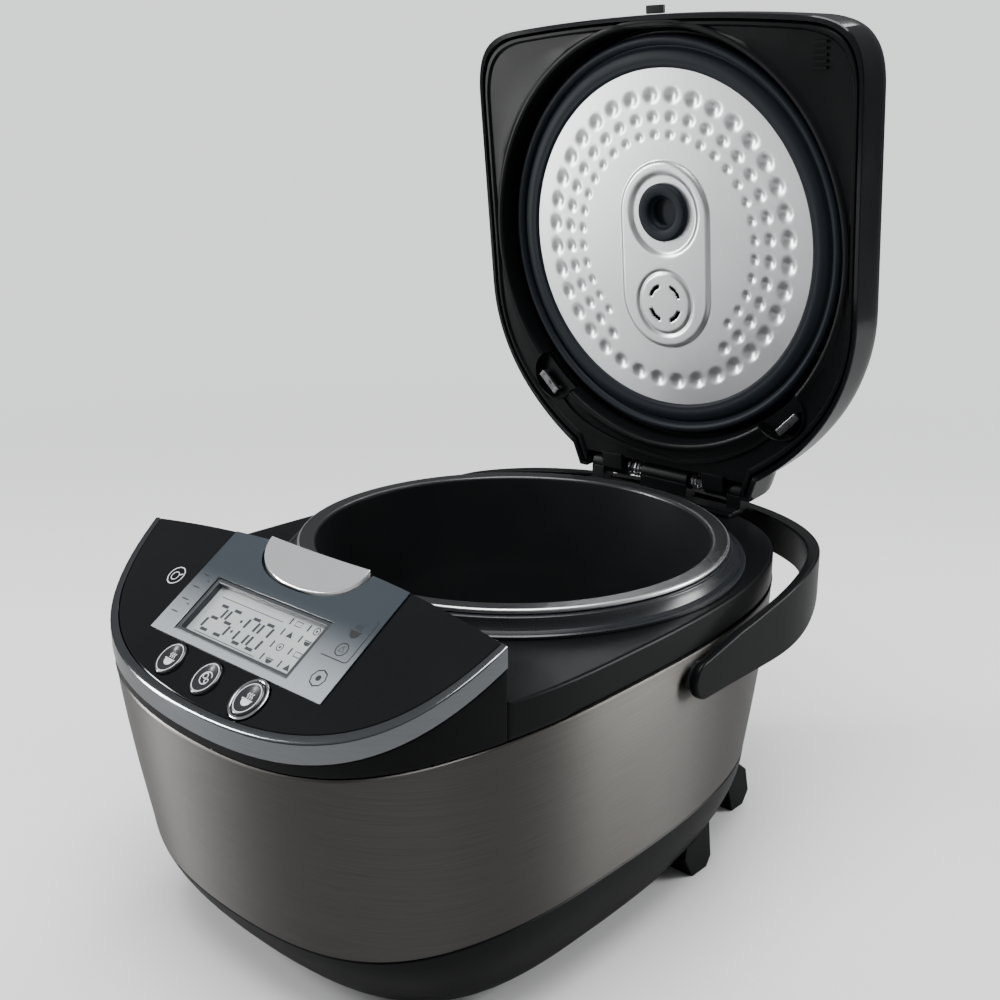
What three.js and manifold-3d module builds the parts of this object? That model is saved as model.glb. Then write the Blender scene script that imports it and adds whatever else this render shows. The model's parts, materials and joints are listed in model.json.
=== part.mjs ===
// Multicooker with a hinged lid, a control console at the front and a folding carry handle.
// Millimetres, +Z up, front towards -Y. While it is built, the pot's axis is x = 0, y = 0 and the
// table is z = 0; at the end the whole cooker is moved so that the middle of its footprint with
// the lid open is the origin. The lid is drawn shut and then turned open about its hinge.
import * as THREE from 'three';
import { mergeVertices } from 'three/addons/utils/BufferGeometryUtils.js';
import Module from 'manifold-3d';

const wasm = await Module();
wasm.setup();

// ---------- driving dimensions ----------

const GAP = 0.4;                      // clearance between parts that meet
const SHELL_WALL = 3;                 // moulded plastic walls
const SHEET = 0.8;                    // stainless sleeve

// Pot, and the heights that hang on its rim.
const POT_RADIUS = 112.2;
const POT_WALL = 2.2;
const POT_DEPTH = 143;
const POT_CORNER = 20;
const POT_FLANGE_RADIUS = 120;
const POT_FLANGE_THICK = 2.4;
const POT_BASE_Z = 47;
const RIM_Z = POT_BASE_Z + POT_DEPTH;

// Body plan: rounded bow at the front, straight sides, round back.
const RING_RADIUS = POT_FLANGE_RADIUS + 9;
const BODY_SIDE_MARGIN = 7;
const BODY_HALF_WIDTH = RING_RADIUS + BODY_SIDE_MARGIN;
const CONSOLE_REAR = RING_RADIUS + 7.5;
const CONSOLE_DEPTH = 80.5;
const BODY_FRONT = CONSOLE_REAR + CONSOLE_DEPTH;
const BODY_BACK = RING_RADIUS + 21;
const BODY_MIDDLE_Y = -33;            // the walls lean in towards this line
const SIDE_FRONT_Y = -85;
const SIDE_REAR_Y = -60;

// Body heights.
const DECK_Z = RIM_Z - 12;
const BASE_FLOOR_Z = 6;
const STEEL_BOTTOM_Z = 59;
const STEEL_BOTTOM_DIP = 14;          // both edges of the sleeve sag towards the front
const STEEL_TOP_Z = DECK_Z - 18;
const STEEL_TOP_DIP = 19;
const TONGUE = 8;                     // plastic tongues tucked inside the sleeve
const WAIST_SCALE = 0.934;            // plan scale at the sleeve's lower edge
const FLOOR_SCALE = 0.76;             // plan scale at the underside

// Console: a plane that climbs to the rear.
const SLOPE_ANGLE = THREE.MathUtils.degToRad(33.36);
const SLOPE_Y = -(CONSOLE_REAR + 56.8);   // lower edge of the film
const SLOPE_Z = DECK_Z - 5.3;
const CONSOLE_REAR_BOW = 0.00055;
const TRIM_HEIGHT = 10;
const TRIM_WIDTH = 3.2;
const FASCIA_TOP_DROP = 0.2;
const FASCIA_THICK = 3.2;
const FILM_HALF_WIDTH = 65;
const FILM_LENGTH = 63.8;
const FILM_THICK = 0.5;
const LCD = { left: -50, right: 38, low: 4, high: 37.5 };
const LCD_RECESS = 3;
const LCD_FRAME = 2;
const KEYS = [
  { name: 'left', x: -35, v: -10.4 },
  { name: 'middle', x: -5, v: -11.6 },
  { name: 'right', x: 27, v: -11.6 },
];
const KEY_HALF_WIDTH = 8;
const KEY_HALF_LENGTH = 9;
const KEY_PROUD = 1.4;
const KEY_TRAVEL = 1;
const BOARD_DROP = 16;

// Release button and latch.
const BUTTON_HALF_WIDTH = 37;
const BUTTON_DEPTH = 16;
const BUTTON_RAISE = 3.5;
const BUTTON_TRAVEL = 3;
const BUTTON_UNDERSIDE_Z = DECK_Z + 19.6;
const SHELF_Z = DECK_Z + 2.5;
const LATCH_Z = DECK_Z + 13;
const LATCH_HALF_WIDTH = 6;
const LATCH_THICK = 3;
const CATCH_THICK = 2.5;

// Lid.
const LID_OPEN = THREE.MathUtils.degToRad(84.4);
const HINGE_Y = RING_RADIUS + 19;
const HINGE_Z = DECK_Z + 13.2;
const LID_HALF_WIDTH = BODY_HALF_WIDTH - 2;
const LID_FRONT = CONSOLE_REAR - 7.5;
const LID_PART_Z = DECK_Z + 3;
const LID_HEIGHT = 50;
const LID_WALL_HEIGHT = 16;
const LID_CROWN_SCALE = 0.62;
const LID_WALL = 2.5;
const LID_NECK_HALF_WIDTH = 66;
const LID_NECK_Y = HINGE_Y + 2;
const RECESS_RADIUS = POT_FLANGE_RADIUS + 2.5;
const RECESS_DEPTH = 17;
const POCKET_RADIUS = 16;
const POCKET_DEPTH = 9;
const POCKET_TURN = THREE.MathUtils.degToRad(43.05);   // from straight back, either side
const POCKET_REACH = RING_RADIUS - 4.5;
const POCKET_X = POCKET_REACH * Math.sin(POCKET_TURN);
const POCKET_Y = POCKET_REACH * Math.cos(POCKET_TURN);
const PLATE_RADIUS = 102;
const PLATE_Z = RIM_Z + 3.3;
const PLATE_THICK = 1;
const SEAL_OUTER = POT_FLANGE_RADIUS - 1;
const BUSH_Y = -18.2;
const BUSH_RADIUS = 17.3;
const BUSH_HOLE = 8;
const VENT_DISC_Y = 36.6;
const VENT_SLOT_RADIUS = 11;
const DUCT_RADIUS = 10;
const CAP_RADIUS = 26;
const CAP_Y = -8;
const CAP_HEIGHT = 16;
const CAP_PROUD = 5;

// Hinge.
const BARREL_RADIUS = 6.5;
const PIN_RADIUS = 2.5;
const BARREL_HALF = 18;
const SPRING_END = 30;
const KNUCKLE_END = 47;
const EAR_END = 58;

// Handle.
const HANDLE_PIVOT_Y = -12;
const HANDLE_PIVOT_Z = STEEL_TOP_Z - 13.5;
const HANDLE_CLEAR = 0.8;
const HANDLE_ARM = 4.7;
const HANDLE_INNER_X = BODY_HALF_WIDTH + HANDLE_CLEAR;
const HANDLE_OUTER_X = HANDLE_INNER_X + HANDLE_ARM;
const HANDLE_BACK = BODY_BACK + 26;
const HANDLE_BAR = 10;
const PIVOT_PIN = 5;
const PIVOT_BOSS = 8.5;

// Feet and screws.
const FOOT_RADIUS = 9;
const SCREWS = [[-60, -110], [60, -110], [-60, 62], [60, 62]];
const FEET = { front: [67, -134], rear: [62, 88] };
const SCREW_RADIUS = 1.6;
const COVER_THICK = 2.4;
const INLET_DEPTH = 15;

// Heating parts.
const CHAMBER_GAP = 2.3;
const CHAMBER_WALL = 1.2;
const CHAMBER_RADIUS = POT_RADIUS + CHAMBER_GAP;
const HEATER_THICK = 10.6;
const HEATER_RADIUS = POT_RADIUS - 22;
const HEATER_HOLE = 15;
const SENSOR_RADIUS = 12.5;
const HEATER_Z = POT_BASE_Z - GAP - HEATER_THICK;
const SHIELD_Z = HEATER_Z - 6;

const FACETS = 36;                    // around large round parts
const OUTLINE_STEPS = 7;              // along each curve of a plan outline

// ---------- materials ----------

const finish = (color, roughness, metalness) => new THREE.MeshStandardMaterial({ color, roughness, metalness });
const mattBlack = finish(0x17191b, 0.55, 0);
const glossBlack = finish(0x0b0d0f, 0.15, 0);
const brushedSteel = finish(0x9a9894, 0.35, 1);
const brightTrim = finish(0x8f969b, 0.25, 1);
const silverFilm = finish(0xb4b9bd, 0.4, 0.3);
const chrome = finish(0xd8dde0, 0.08, 1);
const screenGrey = finish(0xa9adae, 0.2, 0);
const nonStick = finish(0x111316, 0.4, 0.2);
const aluminium = finish(0xc9ccce, 0.4, 1);
const darkRubber = finish(0x1a2026, 0.6, 0);
const boardGreen = finish(0x1f5a35, 0.6, 0);
const springSteel = finish(0xa0a3a6, 0.35, 1);
const smokedPlastic = finish(0x2c3033, 0.5, 0);

// ---------- solids ----------

// A closed geometry as a solid: shared corners merged, collapsed triangles dropped.
function solid(geometry) {
  const bare = geometry.clone();
  bare.deleteAttribute('normal');
  bare.deleteAttribute('uv');
  const merged = mergeVertices(bare, 1e-4);
  const index = merged.index.array;
  const kept = [];
  for (let i = 0; i < index.length; i += 3) {
    const [a, b, c] = [index[i], index[i + 1], index[i + 2]];
    if (a !== b && b !== c && c !== a) kept.push(a, b, c);
  }
  const vertProperties = new Float32Array(merged.attributes.position.array);
  return new wasm.Manifold(new wasm.Mesh({ numProp: 3, vertProperties, triVerts: new Uint32Array(kept) }));
}

function geometryOf(manifold) {
  const mesh = manifold.getMesh();
  const geometry = new THREE.BufferGeometry();
  geometry.setAttribute('position', new THREE.BufferAttribute(mesh.vertProperties, 3));
  geometry.setIndex(new THREE.BufferAttribute(mesh.triVerts, 1));
  geometry.computeVertexNormals();
  return geometry;
}

const asSolid = (item) => (item.isBufferGeometry ? solid(item) : item);
const cut = (base, ...tools) => tools.reduce((sum, tool) => sum.subtract(asSolid(tool)), asSolid(base));
const join = (base, ...tools) => tools.reduce((sum, tool) => sum.add(asSolid(tool)), asSolid(base));
const meet = (base, ...tools) => tools.reduce((sum, tool) => sum.intersect(asSolid(tool)), asSolid(base));

function node(name, item, material) {
  const geometry = item.isBufferGeometry ? item : geometryOf(item);
  const mesh = new THREE.Mesh(geometry, material);
  mesh.name = name;
  return mesh;
}

function extrude(shape, low, high, steps = 1, curveSegments = OUTLINE_STEPS) {
  const depth = high - low;
  return new THREE.ExtrudeGeometry(shape, { depth, steps, curveSegments, bevelEnabled: false }).translate(0, 0, low);
}

function polygon(points) {
  return new THREE.Shape(points.map(([x, y]) => new THREE.Vector2(x, y)));
}

// A side profile given as (y, z) points, pulled out along X.
function sideProfile(points, left, right) {
  const block = extrude(polygon(points), left, right);
  return block.rotateX(Math.PI / 2).rotateZ(Math.PI / 2);
}

function box(left, right, front, back, low, high) {
  const block = new THREE.BoxGeometry(right - left, back - front, high - low);
  return block.translate((left + right) / 2, (front + back) / 2, (low + high) / 2);
}

function cylinder(radius, low, high, x = 0, y = 0, facets = 24) {
  return new THREE.CylinderGeometry(radius, radius, high - low, facets)
    .rotateX(Math.PI / 2)
    .translate(x, y, (low + high) / 2);
}

function crossCylinder(radius, left, right, y, z, facets = 16) {
  return new THREE.CylinderGeometry(radius, radius, right - left, facets)
    .rotateZ(Math.PI / 2)
    .translate((left + right) / 2, y, z);
}

// A turned part from (radius, height) points. A profile off the axis is closed into a ring.
function turned(profile, facets = FACETS) {
  const points = profile.map(([r, z]) => new THREE.Vector2(r, z));
  if (THREE.ShapeUtils.area(points) < 0) points.reverse();
  const onAxis = points.some((p) => p.x === 0);
  if (!onAxis) points.push(points[0].clone());
  return new THREE.LatheGeometry(points, facets).rotateX(Math.PI / 2);
}

function coil(radius, wire, low, high, turns, steps = 9) {
  const curve = new THREE.Curve();
  curve.getPoint = (t, target = new THREE.Vector3()) => {
    const angle = t * turns * 2 * Math.PI;
    return target.set(radius * Math.cos(angle), radius * Math.sin(angle), low + wire + t * (high - low - 2 * wire));
  };
  const section = new THREE.Shape().absarc(0, 0, wire, 0, 2 * Math.PI);
  return new THREE.ExtrudeGeometry(section, {
    steps: turns * steps, extrudePath: curve, curveSegments: 2, bevelEnabled: false,
  });
}

// ---------- body plan and walls ----------

function bodyOutline(inset = 0) {
  const w = BODY_HALF_WIDTH - inset;
  const front = -BODY_FRONT + inset;
  const back = BODY_BACK - inset;
  const bow = w - 26;
  const shoulder = front + 37;
  const backCurve = w - 24;
  const shape = new THREE.Shape();
  shape.moveTo(0, front);
  shape.bezierCurveTo(bow, front, w, shoulder, w, SIDE_FRONT_Y);
  shape.lineTo(w, SIDE_REAR_Y);
  shape.bezierCurveTo(w, BODY_BACK / 2, backCurve, back, 0, back);
  shape.bezierCurveTo(-backCurve, back, -w, BODY_BACK / 2, -w, SIDE_REAR_Y);
  shape.lineTo(-w, SIDE_FRONT_Y);
  shape.bezierCurveTo(-w, shoulder, -bow, front, 0, front);
  return shape;
}

// How far the sleeve's edges sag: 1 at the very front, 0 along the sides and back.
function sag(y) {
  return Math.max(0, (SIDE_FRONT_Y - y) / (SIDE_FRONT_Y + BODY_FRONT)) ** 4;
}

const steelBottom = (y) => STEEL_BOTTOM_Z - STEEL_BOTTOM_DIP * sag(y);
const steelTop = (y) => STEEL_TOP_Z - STEEL_TOP_DIP * sag(y);

function planScale(z) {
  if (z >= STEEL_TOP_Z) return 1;
  if (z >= STEEL_BOTTOM_Z) {
    const down = (STEEL_TOP_Z - z) / (STEEL_TOP_Z - STEEL_BOTTOM_Z);
    return 1 - (1 - WAIST_SCALE) * down ** 1.4;
  }
  const down = (STEEL_BOTTOM_Z - z) / (STEEL_BOTTOM_Z - BASE_FLOOR_Z);
  return WAIST_SCALE - (WAIST_SCALE - FLOOR_SCALE) * down ** 1.8;
}

// A wall or block that follows the body plan between two heights, each a function of y.
function bodyBand(shape, lower, upper, rows) {
  const geometry = extrude(shape, 0, 1, rows);
  const position = geometry.attributes.position;
  for (let i = 0; i < position.count; i += 1) {
    const x = position.getX(i);
    const y = position.getY(i);
    const z = lower(y) + position.getZ(i) * (upper(y) - lower(y));
    const scale = planScale(z);
    position.setXYZ(i, x * scale, BODY_MIDDLE_Y + (y - BODY_MIDDLE_Y) * scale, z);
  }
  return geometry;
}

function bodyRing(outer, inner) {
  const shape = bodyOutline(outer);
  shape.holes.push(bodyOutline(inner));
  return shape;
}

// ---------- console geometry ----------

const slopeZ = (y) => SLOPE_Z + (y - SLOPE_Y) * Math.tan(SLOPE_ANGLE);
const FAR = 260;
const TOP = RIM_Z + 60;

// Everything under the console's plane, lowered by a drop.
function underSlope(drop) {
  const points = [[-FAR, -10], [FAR, -10], [FAR, slopeZ(FAR) - drop], [-FAR, slopeZ(-FAR) - drop]];
  return sideProfile(points, -FAR, FAR);
}

// The console's plan: all that lies in front of its bowed rear edge.
function consoleRegion(inset, low, high) {
  const reach = 180;
  const edge = -CONSOLE_REAR - CONSOLE_REAR_BOW * reach ** 2 - inset;
  const control = -CONSOLE_REAR + CONSOLE_REAR_BOW * reach ** 2 - inset;
  const shape = new THREE.Shape();
  shape.moveTo(-reach, -FAR);
  shape.lineTo(reach, -FAR);
  shape.lineTo(reach, edge);
  shape.quadraticCurveTo(0, control, -reach, edge);
  return extrude(shape, low, high, 1, 20);
}

// A block drawn on the console's plane: x across, v up the slope, w out of it.
function onSlope(geometry) {
  return geometry.rotateX(SLOPE_ANGLE).translate(0, SLOPE_Y, SLOPE_Z);
}

function ellipse(halfWidth, halfLength, x, v) {
  return new THREE.Shape().absellipse(x, v, halfWidth, halfLength, 0, 2 * Math.PI);
}

function buttonShape(grow) {
  const w = BUTTON_HALF_WIDTH + grow;
  const rear = -CONSOLE_REAR - 1.6 + grow;
  const front = rear - BUTTON_DEPTH - 2 * grow;
  const shape = new THREE.Shape();
  shape.moveTo(w, rear);
  shape.lineTo(-w, rear);
  shape.bezierCurveTo(-w, front + 4, -w / 2, front, 0, front);
  shape.bezierCurveTo(w / 2, front, w, front + 4, w, rear);
  return shape;
}

// ---------- lid plan ----------

function lidOutline(inset = 0) {
  const w = LID_HALF_WIDTH - inset;
  const front = -LID_FRONT + inset;
  const neck = LID_NECK_HALF_WIDTH - inset;
  const rear = LID_NECK_Y - inset;
  const cornerX = w - 30;
  const shape = new THREE.Shape();
  shape.moveTo(0, front);
  shape.quadraticCurveTo(cornerX / 2, front, cornerX, front + 5);
  shape.bezierCurveTo(w - 8, front + 8, w, front + 18, w, front + 42);
  shape.lineTo(w, 32);
  shape.bezierCurveTo(w, 88, neck + 26, rear - 28, neck + 5, rear - 14);
  shape.lineTo(neck, rear);
  shape.lineTo(-neck, rear);
  shape.lineTo(-neck - 5, rear - 14);
  shape.bezierCurveTo(-neck - 26, rear - 28, -w, 88, -w, 32);
  shape.lineTo(-w, front + 42);
  shape.bezierCurveTo(-w, front + 18, -w + 8, front + 8, -cornerX, front + 5);
  shape.quadraticCurveTo(-cornerX / 2, front, 0, front);
  return shape;
}

// The lid's domed block: upright walls, then drawn in towards a flat crown.
function lidDome(inset, low, height) {
  const geometry = extrude(lidOutline(inset), 0, 1, 5, 6);
  const position = geometry.attributes.position;
  for (let i = 0; i < position.count; i += 1) {
    const t = position.getZ(i);
    const wall = LID_WALL_HEIGHT / LID_HEIGHT;
    const rise = Math.sin(t * Math.PI / 2);
    const z = t === 0 ? 0 : wall + (1 - wall) * (rise - 0.22) / 0.78;
    const up = Math.max(0, (z - wall) / (1 - wall));
    const scale = LID_CROWN_SCALE + (1 - LID_CROWN_SCALE) * Math.sqrt(1 - up ** 2.4);
    position.setXYZ(i, position.getX(i) * scale, position.getY(i) * scale, low + z * height);
  }
  return geometry;
}

// ---------- base ----------

function baseBlock(inset, lift = 0) {
  return bodyBand(bodyOutline(inset), () => BASE_FLOOR_Z + lift, (y) => steelBottom(y) - GAP, 4);
}

function baseShell() {
  const tongueOut = SHEET + 3 * GAP;
  const tongueIn = tongueOut + 2;
  const rise = (y) => steelBottom(y) + TONGUE;
  const tongue = bodyBand(bodyOutline(tongueOut), (y) => steelBottom(y) - 6, rise, 2);
  const hollow = bodyBand(bodyOutline(tongueIn), () => BASE_FLOOR_Z + SHELL_WALL, (y) => rise(y) + 1, 4);
  const standoffs = [[-46, -172], [46, -172], [-46, -130], [46, -130]];
  const floorTop = BASE_FLOOR_Z + SHELL_WALL;
  const floorPad = (x, y, half) => box(x - half, x + half, y - half, y + half, BASE_FLOOR_Z, floorTop);
  let shell = cut(join(baseBlock(0), tongue), hollow);
  shell = cut(shell, extrude(openingShape(34), 0, floorTop + 1));
  let inside = solid(box(-50, 50, -176, -126, BASE_FLOOR_Z, floorTop));
  for (const [x, y] of SCREWS) {
    const rib = [x, Math.sign(x) * 104].sort((p, q) => p - q);
    inside = join(inside, cylinder(5, BASE_FLOOR_Z, BASE_FLOOR_Z + 12, x, y, 16), floorPad(x, y, 5),
      box(...rib, y - 4, y + 4, BASE_FLOOR_Z, floorTop));
  }
  for (const [x, y] of standoffs) {
    inside = join(inside, cylinder(3.5, BASE_FLOOR_Z, 24 - GAP, x, y, 12), floorPad(x, y, 4));
  }
  shell = join(shell, meet(inside, baseBlock(1)));
  for (const [x, y] of SCREWS) {
    shell = cut(shell, cylinder(SCREW_RADIUS + GAP, -1, BASE_FLOOR_Z + 10, x, y, 16));
  }
  return cut(shell, inletBlock(GAP));
}

// The large opening in the floor, which the bottom cover closes.
function openingShape(inset) {
  return scaledOutline(inset, FLOOR_SCALE);
}

function scaledOutline(inset, scale) {
  const points = bodyOutline(inset).getPoints(OUTLINE_STEPS);
  return new THREE.Shape(points.slice(0, -1).map((p) => (
    new THREE.Vector2(p.x * scale, BODY_MIDDLE_Y + (p.y - BODY_MIDDLE_Y) * scale)
  )));
}

function bottomCover() {
  const top = BASE_FLOOR_Z - GAP;
  let cover = solid(extrude(scaledOutline(12, FLOOR_SCALE), top - COVER_THICK, top));
  for (const [x, y] of SCREWS) {
    cover = cut(cover, cylinder(SCREW_RADIUS + GAP, 0, top + 1, x, y, 16));
  }
  for (const side of [-1, 1]) {
    for (const [x, y] of [FEET.front, FEET.rear]) {
      cover = cut(cover, cylinder(FOOT_RADIUS / 2 + GAP, 0, top + 1, side * x, y, 20));
    }
  }
  for (let i = -4; i <= 4; i += 1) {
    cover = cut(cover, box(-22, 22, i * 9 - 2, i * 9 + 2, 0, top + 1));
  }
  return cover;
}

// The feet stop short of the cover and plug into its holes.
function foot(x, y) {
  const seat = BASE_FLOOR_Z - 2 * GAP - COVER_THICK;
  const neck = FOOT_RADIUS / 2;
  return turned([[0, 0], [FOOT_RADIUS - 1.5, 0], [FOOT_RADIUS, 1.2], [FOOT_RADIUS, seat],
    [neck, seat], [neck, BASE_FLOOR_Z - 2 * GAP], [0, BASE_FLOOR_Z - 2 * GAP]], 16).translate(x, y, 0);
}

function screw(x, y) {
  const head = BASE_FLOOR_Z - 2 * GAP - COVER_THICK;
  return turned([[0, head - 1.4], [3, head - 1.4], [3.4, head], [SCREW_RADIUS, head], [SCREW_RADIUS, head + 9],
    [0, head + 9.8]], 10).translate(x, y, 0);
}

// A fin that stands out of the tucked-in side of the base and reaches the table.
function sideFin(side, profile, inner, outer) {
  const slab = sideProfile(profile, side < 0 ? -outer : inner, side < 0 ? -inner : outer);
  return cut(slab, baseBlock(-GAP), bodyBand(bodyOutline(-GAP), () => 1, () => BASE_FLOOR_Z + 1, 1));
}

function sideFootProfile() {
  return [[23, 14], [31, 0], [45, 0], [49, 6], [44, 44], [27, 46]];
}

function rearFootProfile() {
  return [[98, 26], [106, 0], [118, 0], [124, 8], [120, 24], [108, 34]];
}

function inletBlock(grow) {
  const y = BODY_MIDDLE_Y + (BODY_BACK - BODY_MIDDLE_Y) * planScale(30);
  return box(-16 - grow, 16 + grow, y - INLET_DEPTH, y + 3, 18 - grow, 42 + grow);
}

function mainsInlet() {
  const y = BODY_MIDDLE_Y + (BODY_BACK - BODY_MIDDLE_Y) * planScale(30);
  let inlet = cut(inletBlock(0), box(-12.5, 12.5, y - INLET_DEPTH + 3, y + 4, 22, 38));
  for (const [x, z] of [[-6, 28], [0, 32], [6, 28]]) {
    inlet = join(inlet, box(x - 1, x + 1, y - INLET_DEPTH + 1, y, z - 2, z + 2));
  }
  return inlet;
}

// ---------- sleeve and collar ----------

function steelSleeve() {
  const sheet = bodyBand(bodyRing(0, SHEET), (y) => steelBottom(y), (y) => steelTop(y), 5);
  const hole = PIVOT_BOSS + GAP;
  return cut(sheet, crossCylinder(hole, -FAR, FAR, HANDLE_PIVOT_Y, HANDLE_PIVOT_Z));
}

function topCollar() {
  const lowest = (y) => steelTop(y) + GAP;
  const tall = () => TOP;
  const tongueOut = SHEET + 3 * GAP;
  const tongueIn = tongueOut + 2;
  const skin = bodyBand(bodyOutline(0), lowest, tall, 2);
  const tongue = bodyBand(bodyOutline(tongueOut), (y) => steelTop(y) - TONGUE, (y) => steelTop(y) + 4, 2);
  const deck = join(box(-FAR, FAR, -FAR, FAR, 0, DECK_Z), consoleRegion(0, 0, TOP + 5));
  const behindTrim = extrude(bodyOutline(TRIM_WIDTH + GAP), 100, TOP + 5);
  const fasciaSeat = FASCIA_TOP_DROP + FASCIA_THICK + GAP;
  const low = meet(skin, underSlope(TRIM_HEIGHT + GAP));
  const high = meet(skin, behindTrim, underSlope(fasciaSeat));
  const outside = meet(join(low, high, tongue), deck);
  const inDeck = join(box(-FAR, FAR, -FAR, FAR, 0, DECK_Z - SHELL_WALL), consoleRegion(SHELL_WALL, 0, TOP));
  const wallIn = TRIM_WIDTH + GAP + SHELL_WALL;
  const from = (y) => steelTop(y) - TONGUE - 2;
  const wide = meet(bodyBand(bodyOutline(tongueIn), from, tall, 2), underSlope(TRIM_HEIGHT + GAP + 4));
  const narrow = meet(bodyBand(bodyOutline(wallIn), from, tall, 2), underSlope(fasciaSeat + 3.6));
  let collar = cut(outside, meet(join(wide, narrow), inDeck));
  collar = cut(collar, cylinder(CHAMBER_RADIUS + 3.5, 120, TOP, 0, 0, FACETS));
  collar = cut(collar, panelOpening());
  collar = cut(collar, crossCylinder(PIVOT_BOSS + GAP, -FAR, FAR, HANDLE_PIVOT_Y, HANDLE_PIVOT_Z));
  const shelf = box(-BUTTON_HALF_WIDTH - 4, BUTTON_HALF_WIDTH + 4, -CONSOLE_REAR - 22, -CONSOLE_REAR - 2,
    SHELF_Z - 2, SHELF_Z);
  collar = join(collar, meet(shelf, consoleRegion(1, 0, TOP)));
  collar = cut(collar, extrude(buttonShape(GAP + 0.2), BUTTON_UNDERSIDE_Z - BUTTON_TRAVEL - 1, TOP));
  return cut(collar, latchBlock(GAP));
}

// One opening through the console's plate for the display and the keys' stems.
function panelOpening() {
  const span = LCD.high - LCD.low;
  const shape = polygon([[LCD.left - 4, LCD.low - 3], [LCD.right + 4, LCD.low - 3],
    [LCD.right + 4, LCD.low + span + 3], [LCD.left - 4, LCD.low + span + 3]]);
  const window = onSlope(extrude(shape, -12, -2));
  return KEYS.reduce((sum, key) => (
    sum.add(solid(onSlope(extrude(ellipse(KEY_HALF_WIDTH + 1.2, KEY_HALF_LENGTH - 1, key.x, key.v), -12, -2, 1, 5))))
  ), solid(window));
}

function rimRing() {
  const inner = CHAMBER_RADIUS + 0.2;
  const shelf = RIM_Z - POT_FLANGE_THICK - GAP;
  const lip = POT_FLANGE_RADIUS + 1.6;
  return turned([[inner, DECK_Z + GAP], [RING_RADIUS, DECK_Z + GAP], [RING_RADIUS, DECK_Z + 1.6],
    [lip + 0.4, DECK_Z + 2.4], [lip, shelf - 2], [lip - 1, shelf - 0.2], [inner, shelf]]);
}

function trimStrip() {
  const ring = bodyOutline(-0.4);
  ring.holes.push(bodyOutline(TRIM_WIDTH));
  const band = extrude(ring, 120, TOP);
  return cut(meet(band, consoleRegion(0, 100, TOP + 5), underSlope(0)), underSlope(TRIM_HEIGHT));
}

function panelFascia() {
  const plate = extrude(bodyOutline(TRIM_WIDTH + GAP), 120, TOP);
  const bottom = FASCIA_TOP_DROP + FASCIA_THICK;
  let fascia = cut(meet(plate, consoleRegion(0, 100, TOP + 5), underSlope(FASCIA_TOP_DROP)), underSlope(bottom));
  const window = polygon([[LCD.left, LCD.low], [LCD.right, LCD.low], [LCD.right, LCD.high], [LCD.left, LCD.high]]);
  fascia = cut(fascia, onSlope(extrude(window, -10, 10)));
  for (const key of KEYS) {
    const grow = key.name === 'right' ? 2.2 + GAP : GAP;
    fascia = cut(fascia, onSlope(extrude(ellipse(KEY_HALF_WIDTH + grow, KEY_HALF_LENGTH + grow, key.x, key.v),
      -10, 10, 1, 7)));
  }
  return cut(fascia, extrude(buttonShape(GAP + 0.2), 150, TOP));
}

function panelFilm() {
  const sheet = polygon([[-FILM_HALF_WIDTH, 0], [FILM_HALF_WIDTH, 0], [FILM_HALF_WIDTH, FILM_LENGTH + 6],
    [-FILM_HALF_WIDTH, FILM_LENGTH + 6]]);
  const hole = new THREE.Path([[LCD.left, LCD.low], [LCD.right, LCD.low], [LCD.right, LCD.high],
    [LCD.left, LCD.high]].map(([x, v]) => new THREE.Vector2(x, v)));
  sheet.holes.push(hole);
  const film = onSlope(extrude(sheet, 0.15, 0.15 + FILM_THICK));
  return cut(meet(film, consoleRegion(0.6, 100, TOP + 5)), extrude(buttonShape(1.6), 150, TOP));
}

// A dark frame that lines the window down to the display.
function lcdFrame() {
  const inset = GAP;
  const [l, r, b, t] = [LCD.left + inset, LCD.right - inset, LCD.low + inset, LCD.high - inset];
  const shape = polygon([[l, b], [r, b], [r, t], [l, t]]);
  const wall = LCD_FRAME;
  shape.holes.push(new THREE.Path([[l + wall, b + wall], [r - wall, b + wall], [r - wall, t - wall],
    [l + wall, t - wall]].map(([x, v]) => new THREE.Vector2(x, v))));
  return onSlope(extrude(shape, -LCD_RECESS, -0.3));
}

function lcdModule() {
  const top = -LCD_RECESS - GAP;
  return onSlope(extrude(polygon([[LCD.left - 3, LCD.low - 2], [LCD.right + 3, LCD.low - 2],
    [LCD.right + 3, LCD.high + 2], [LCD.left - 3, LCD.high + 2]]), top - 6, top - 0.6));
}

function key({ x, v }) {
  const cap = onSlope(extrude(ellipse(KEY_HALF_WIDTH, KEY_HALF_LENGTH, x, v), -2, KEY_PROUD, 1, 7));
  const stem = onSlope(extrude(ellipse(3, 3, x, v), -BOARD_DROP + 4, -1, 1, 3));
  return join(cap, stem);
}

function keyBezel({ x, v }) {
  const ring = ellipse(KEY_HALF_WIDTH + 2, KEY_HALF_LENGTH + 2, x, v);
  ring.holes.push(ellipse(KEY_HALF_WIDTH + GAP, KEY_HALF_LENGTH + GAP, x, v));
  return onSlope(extrude(ring, -2.4, 0.8, 1, 8));
}

function controlBoard() {
  const plate = onSlope(extrude(polygon([[-60, -16], [60, -16], [60, 26], [-60, 26]]), -BOARD_DROP, -BOARD_DROP + 1.6));
  return KEYS.reduce((board, { x, v }) => (
    board.add(solid(onSlope(extrude(ellipse(3.4, 3.4, x, v), -BOARD_DROP + 1, -BOARD_DROP + 2.6, 1, 3))))
  ), solid(plate));
}

function powerBoard() {
  const z = 24;
  const plate = box(-52, 52, -178, -125, z, z + 1.6);
  return join(plate, box(-44, -14, -172, -144, z + 1, z + 24), box(-6, 12, -170, -150, z + 1, z + 17),
    box(20, 44, -166, -140, z + 1, z + 20), cylinder(6, z + 1, z + 18, 4, -137, 16));
}

// ---------- release button and latch ----------

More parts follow.
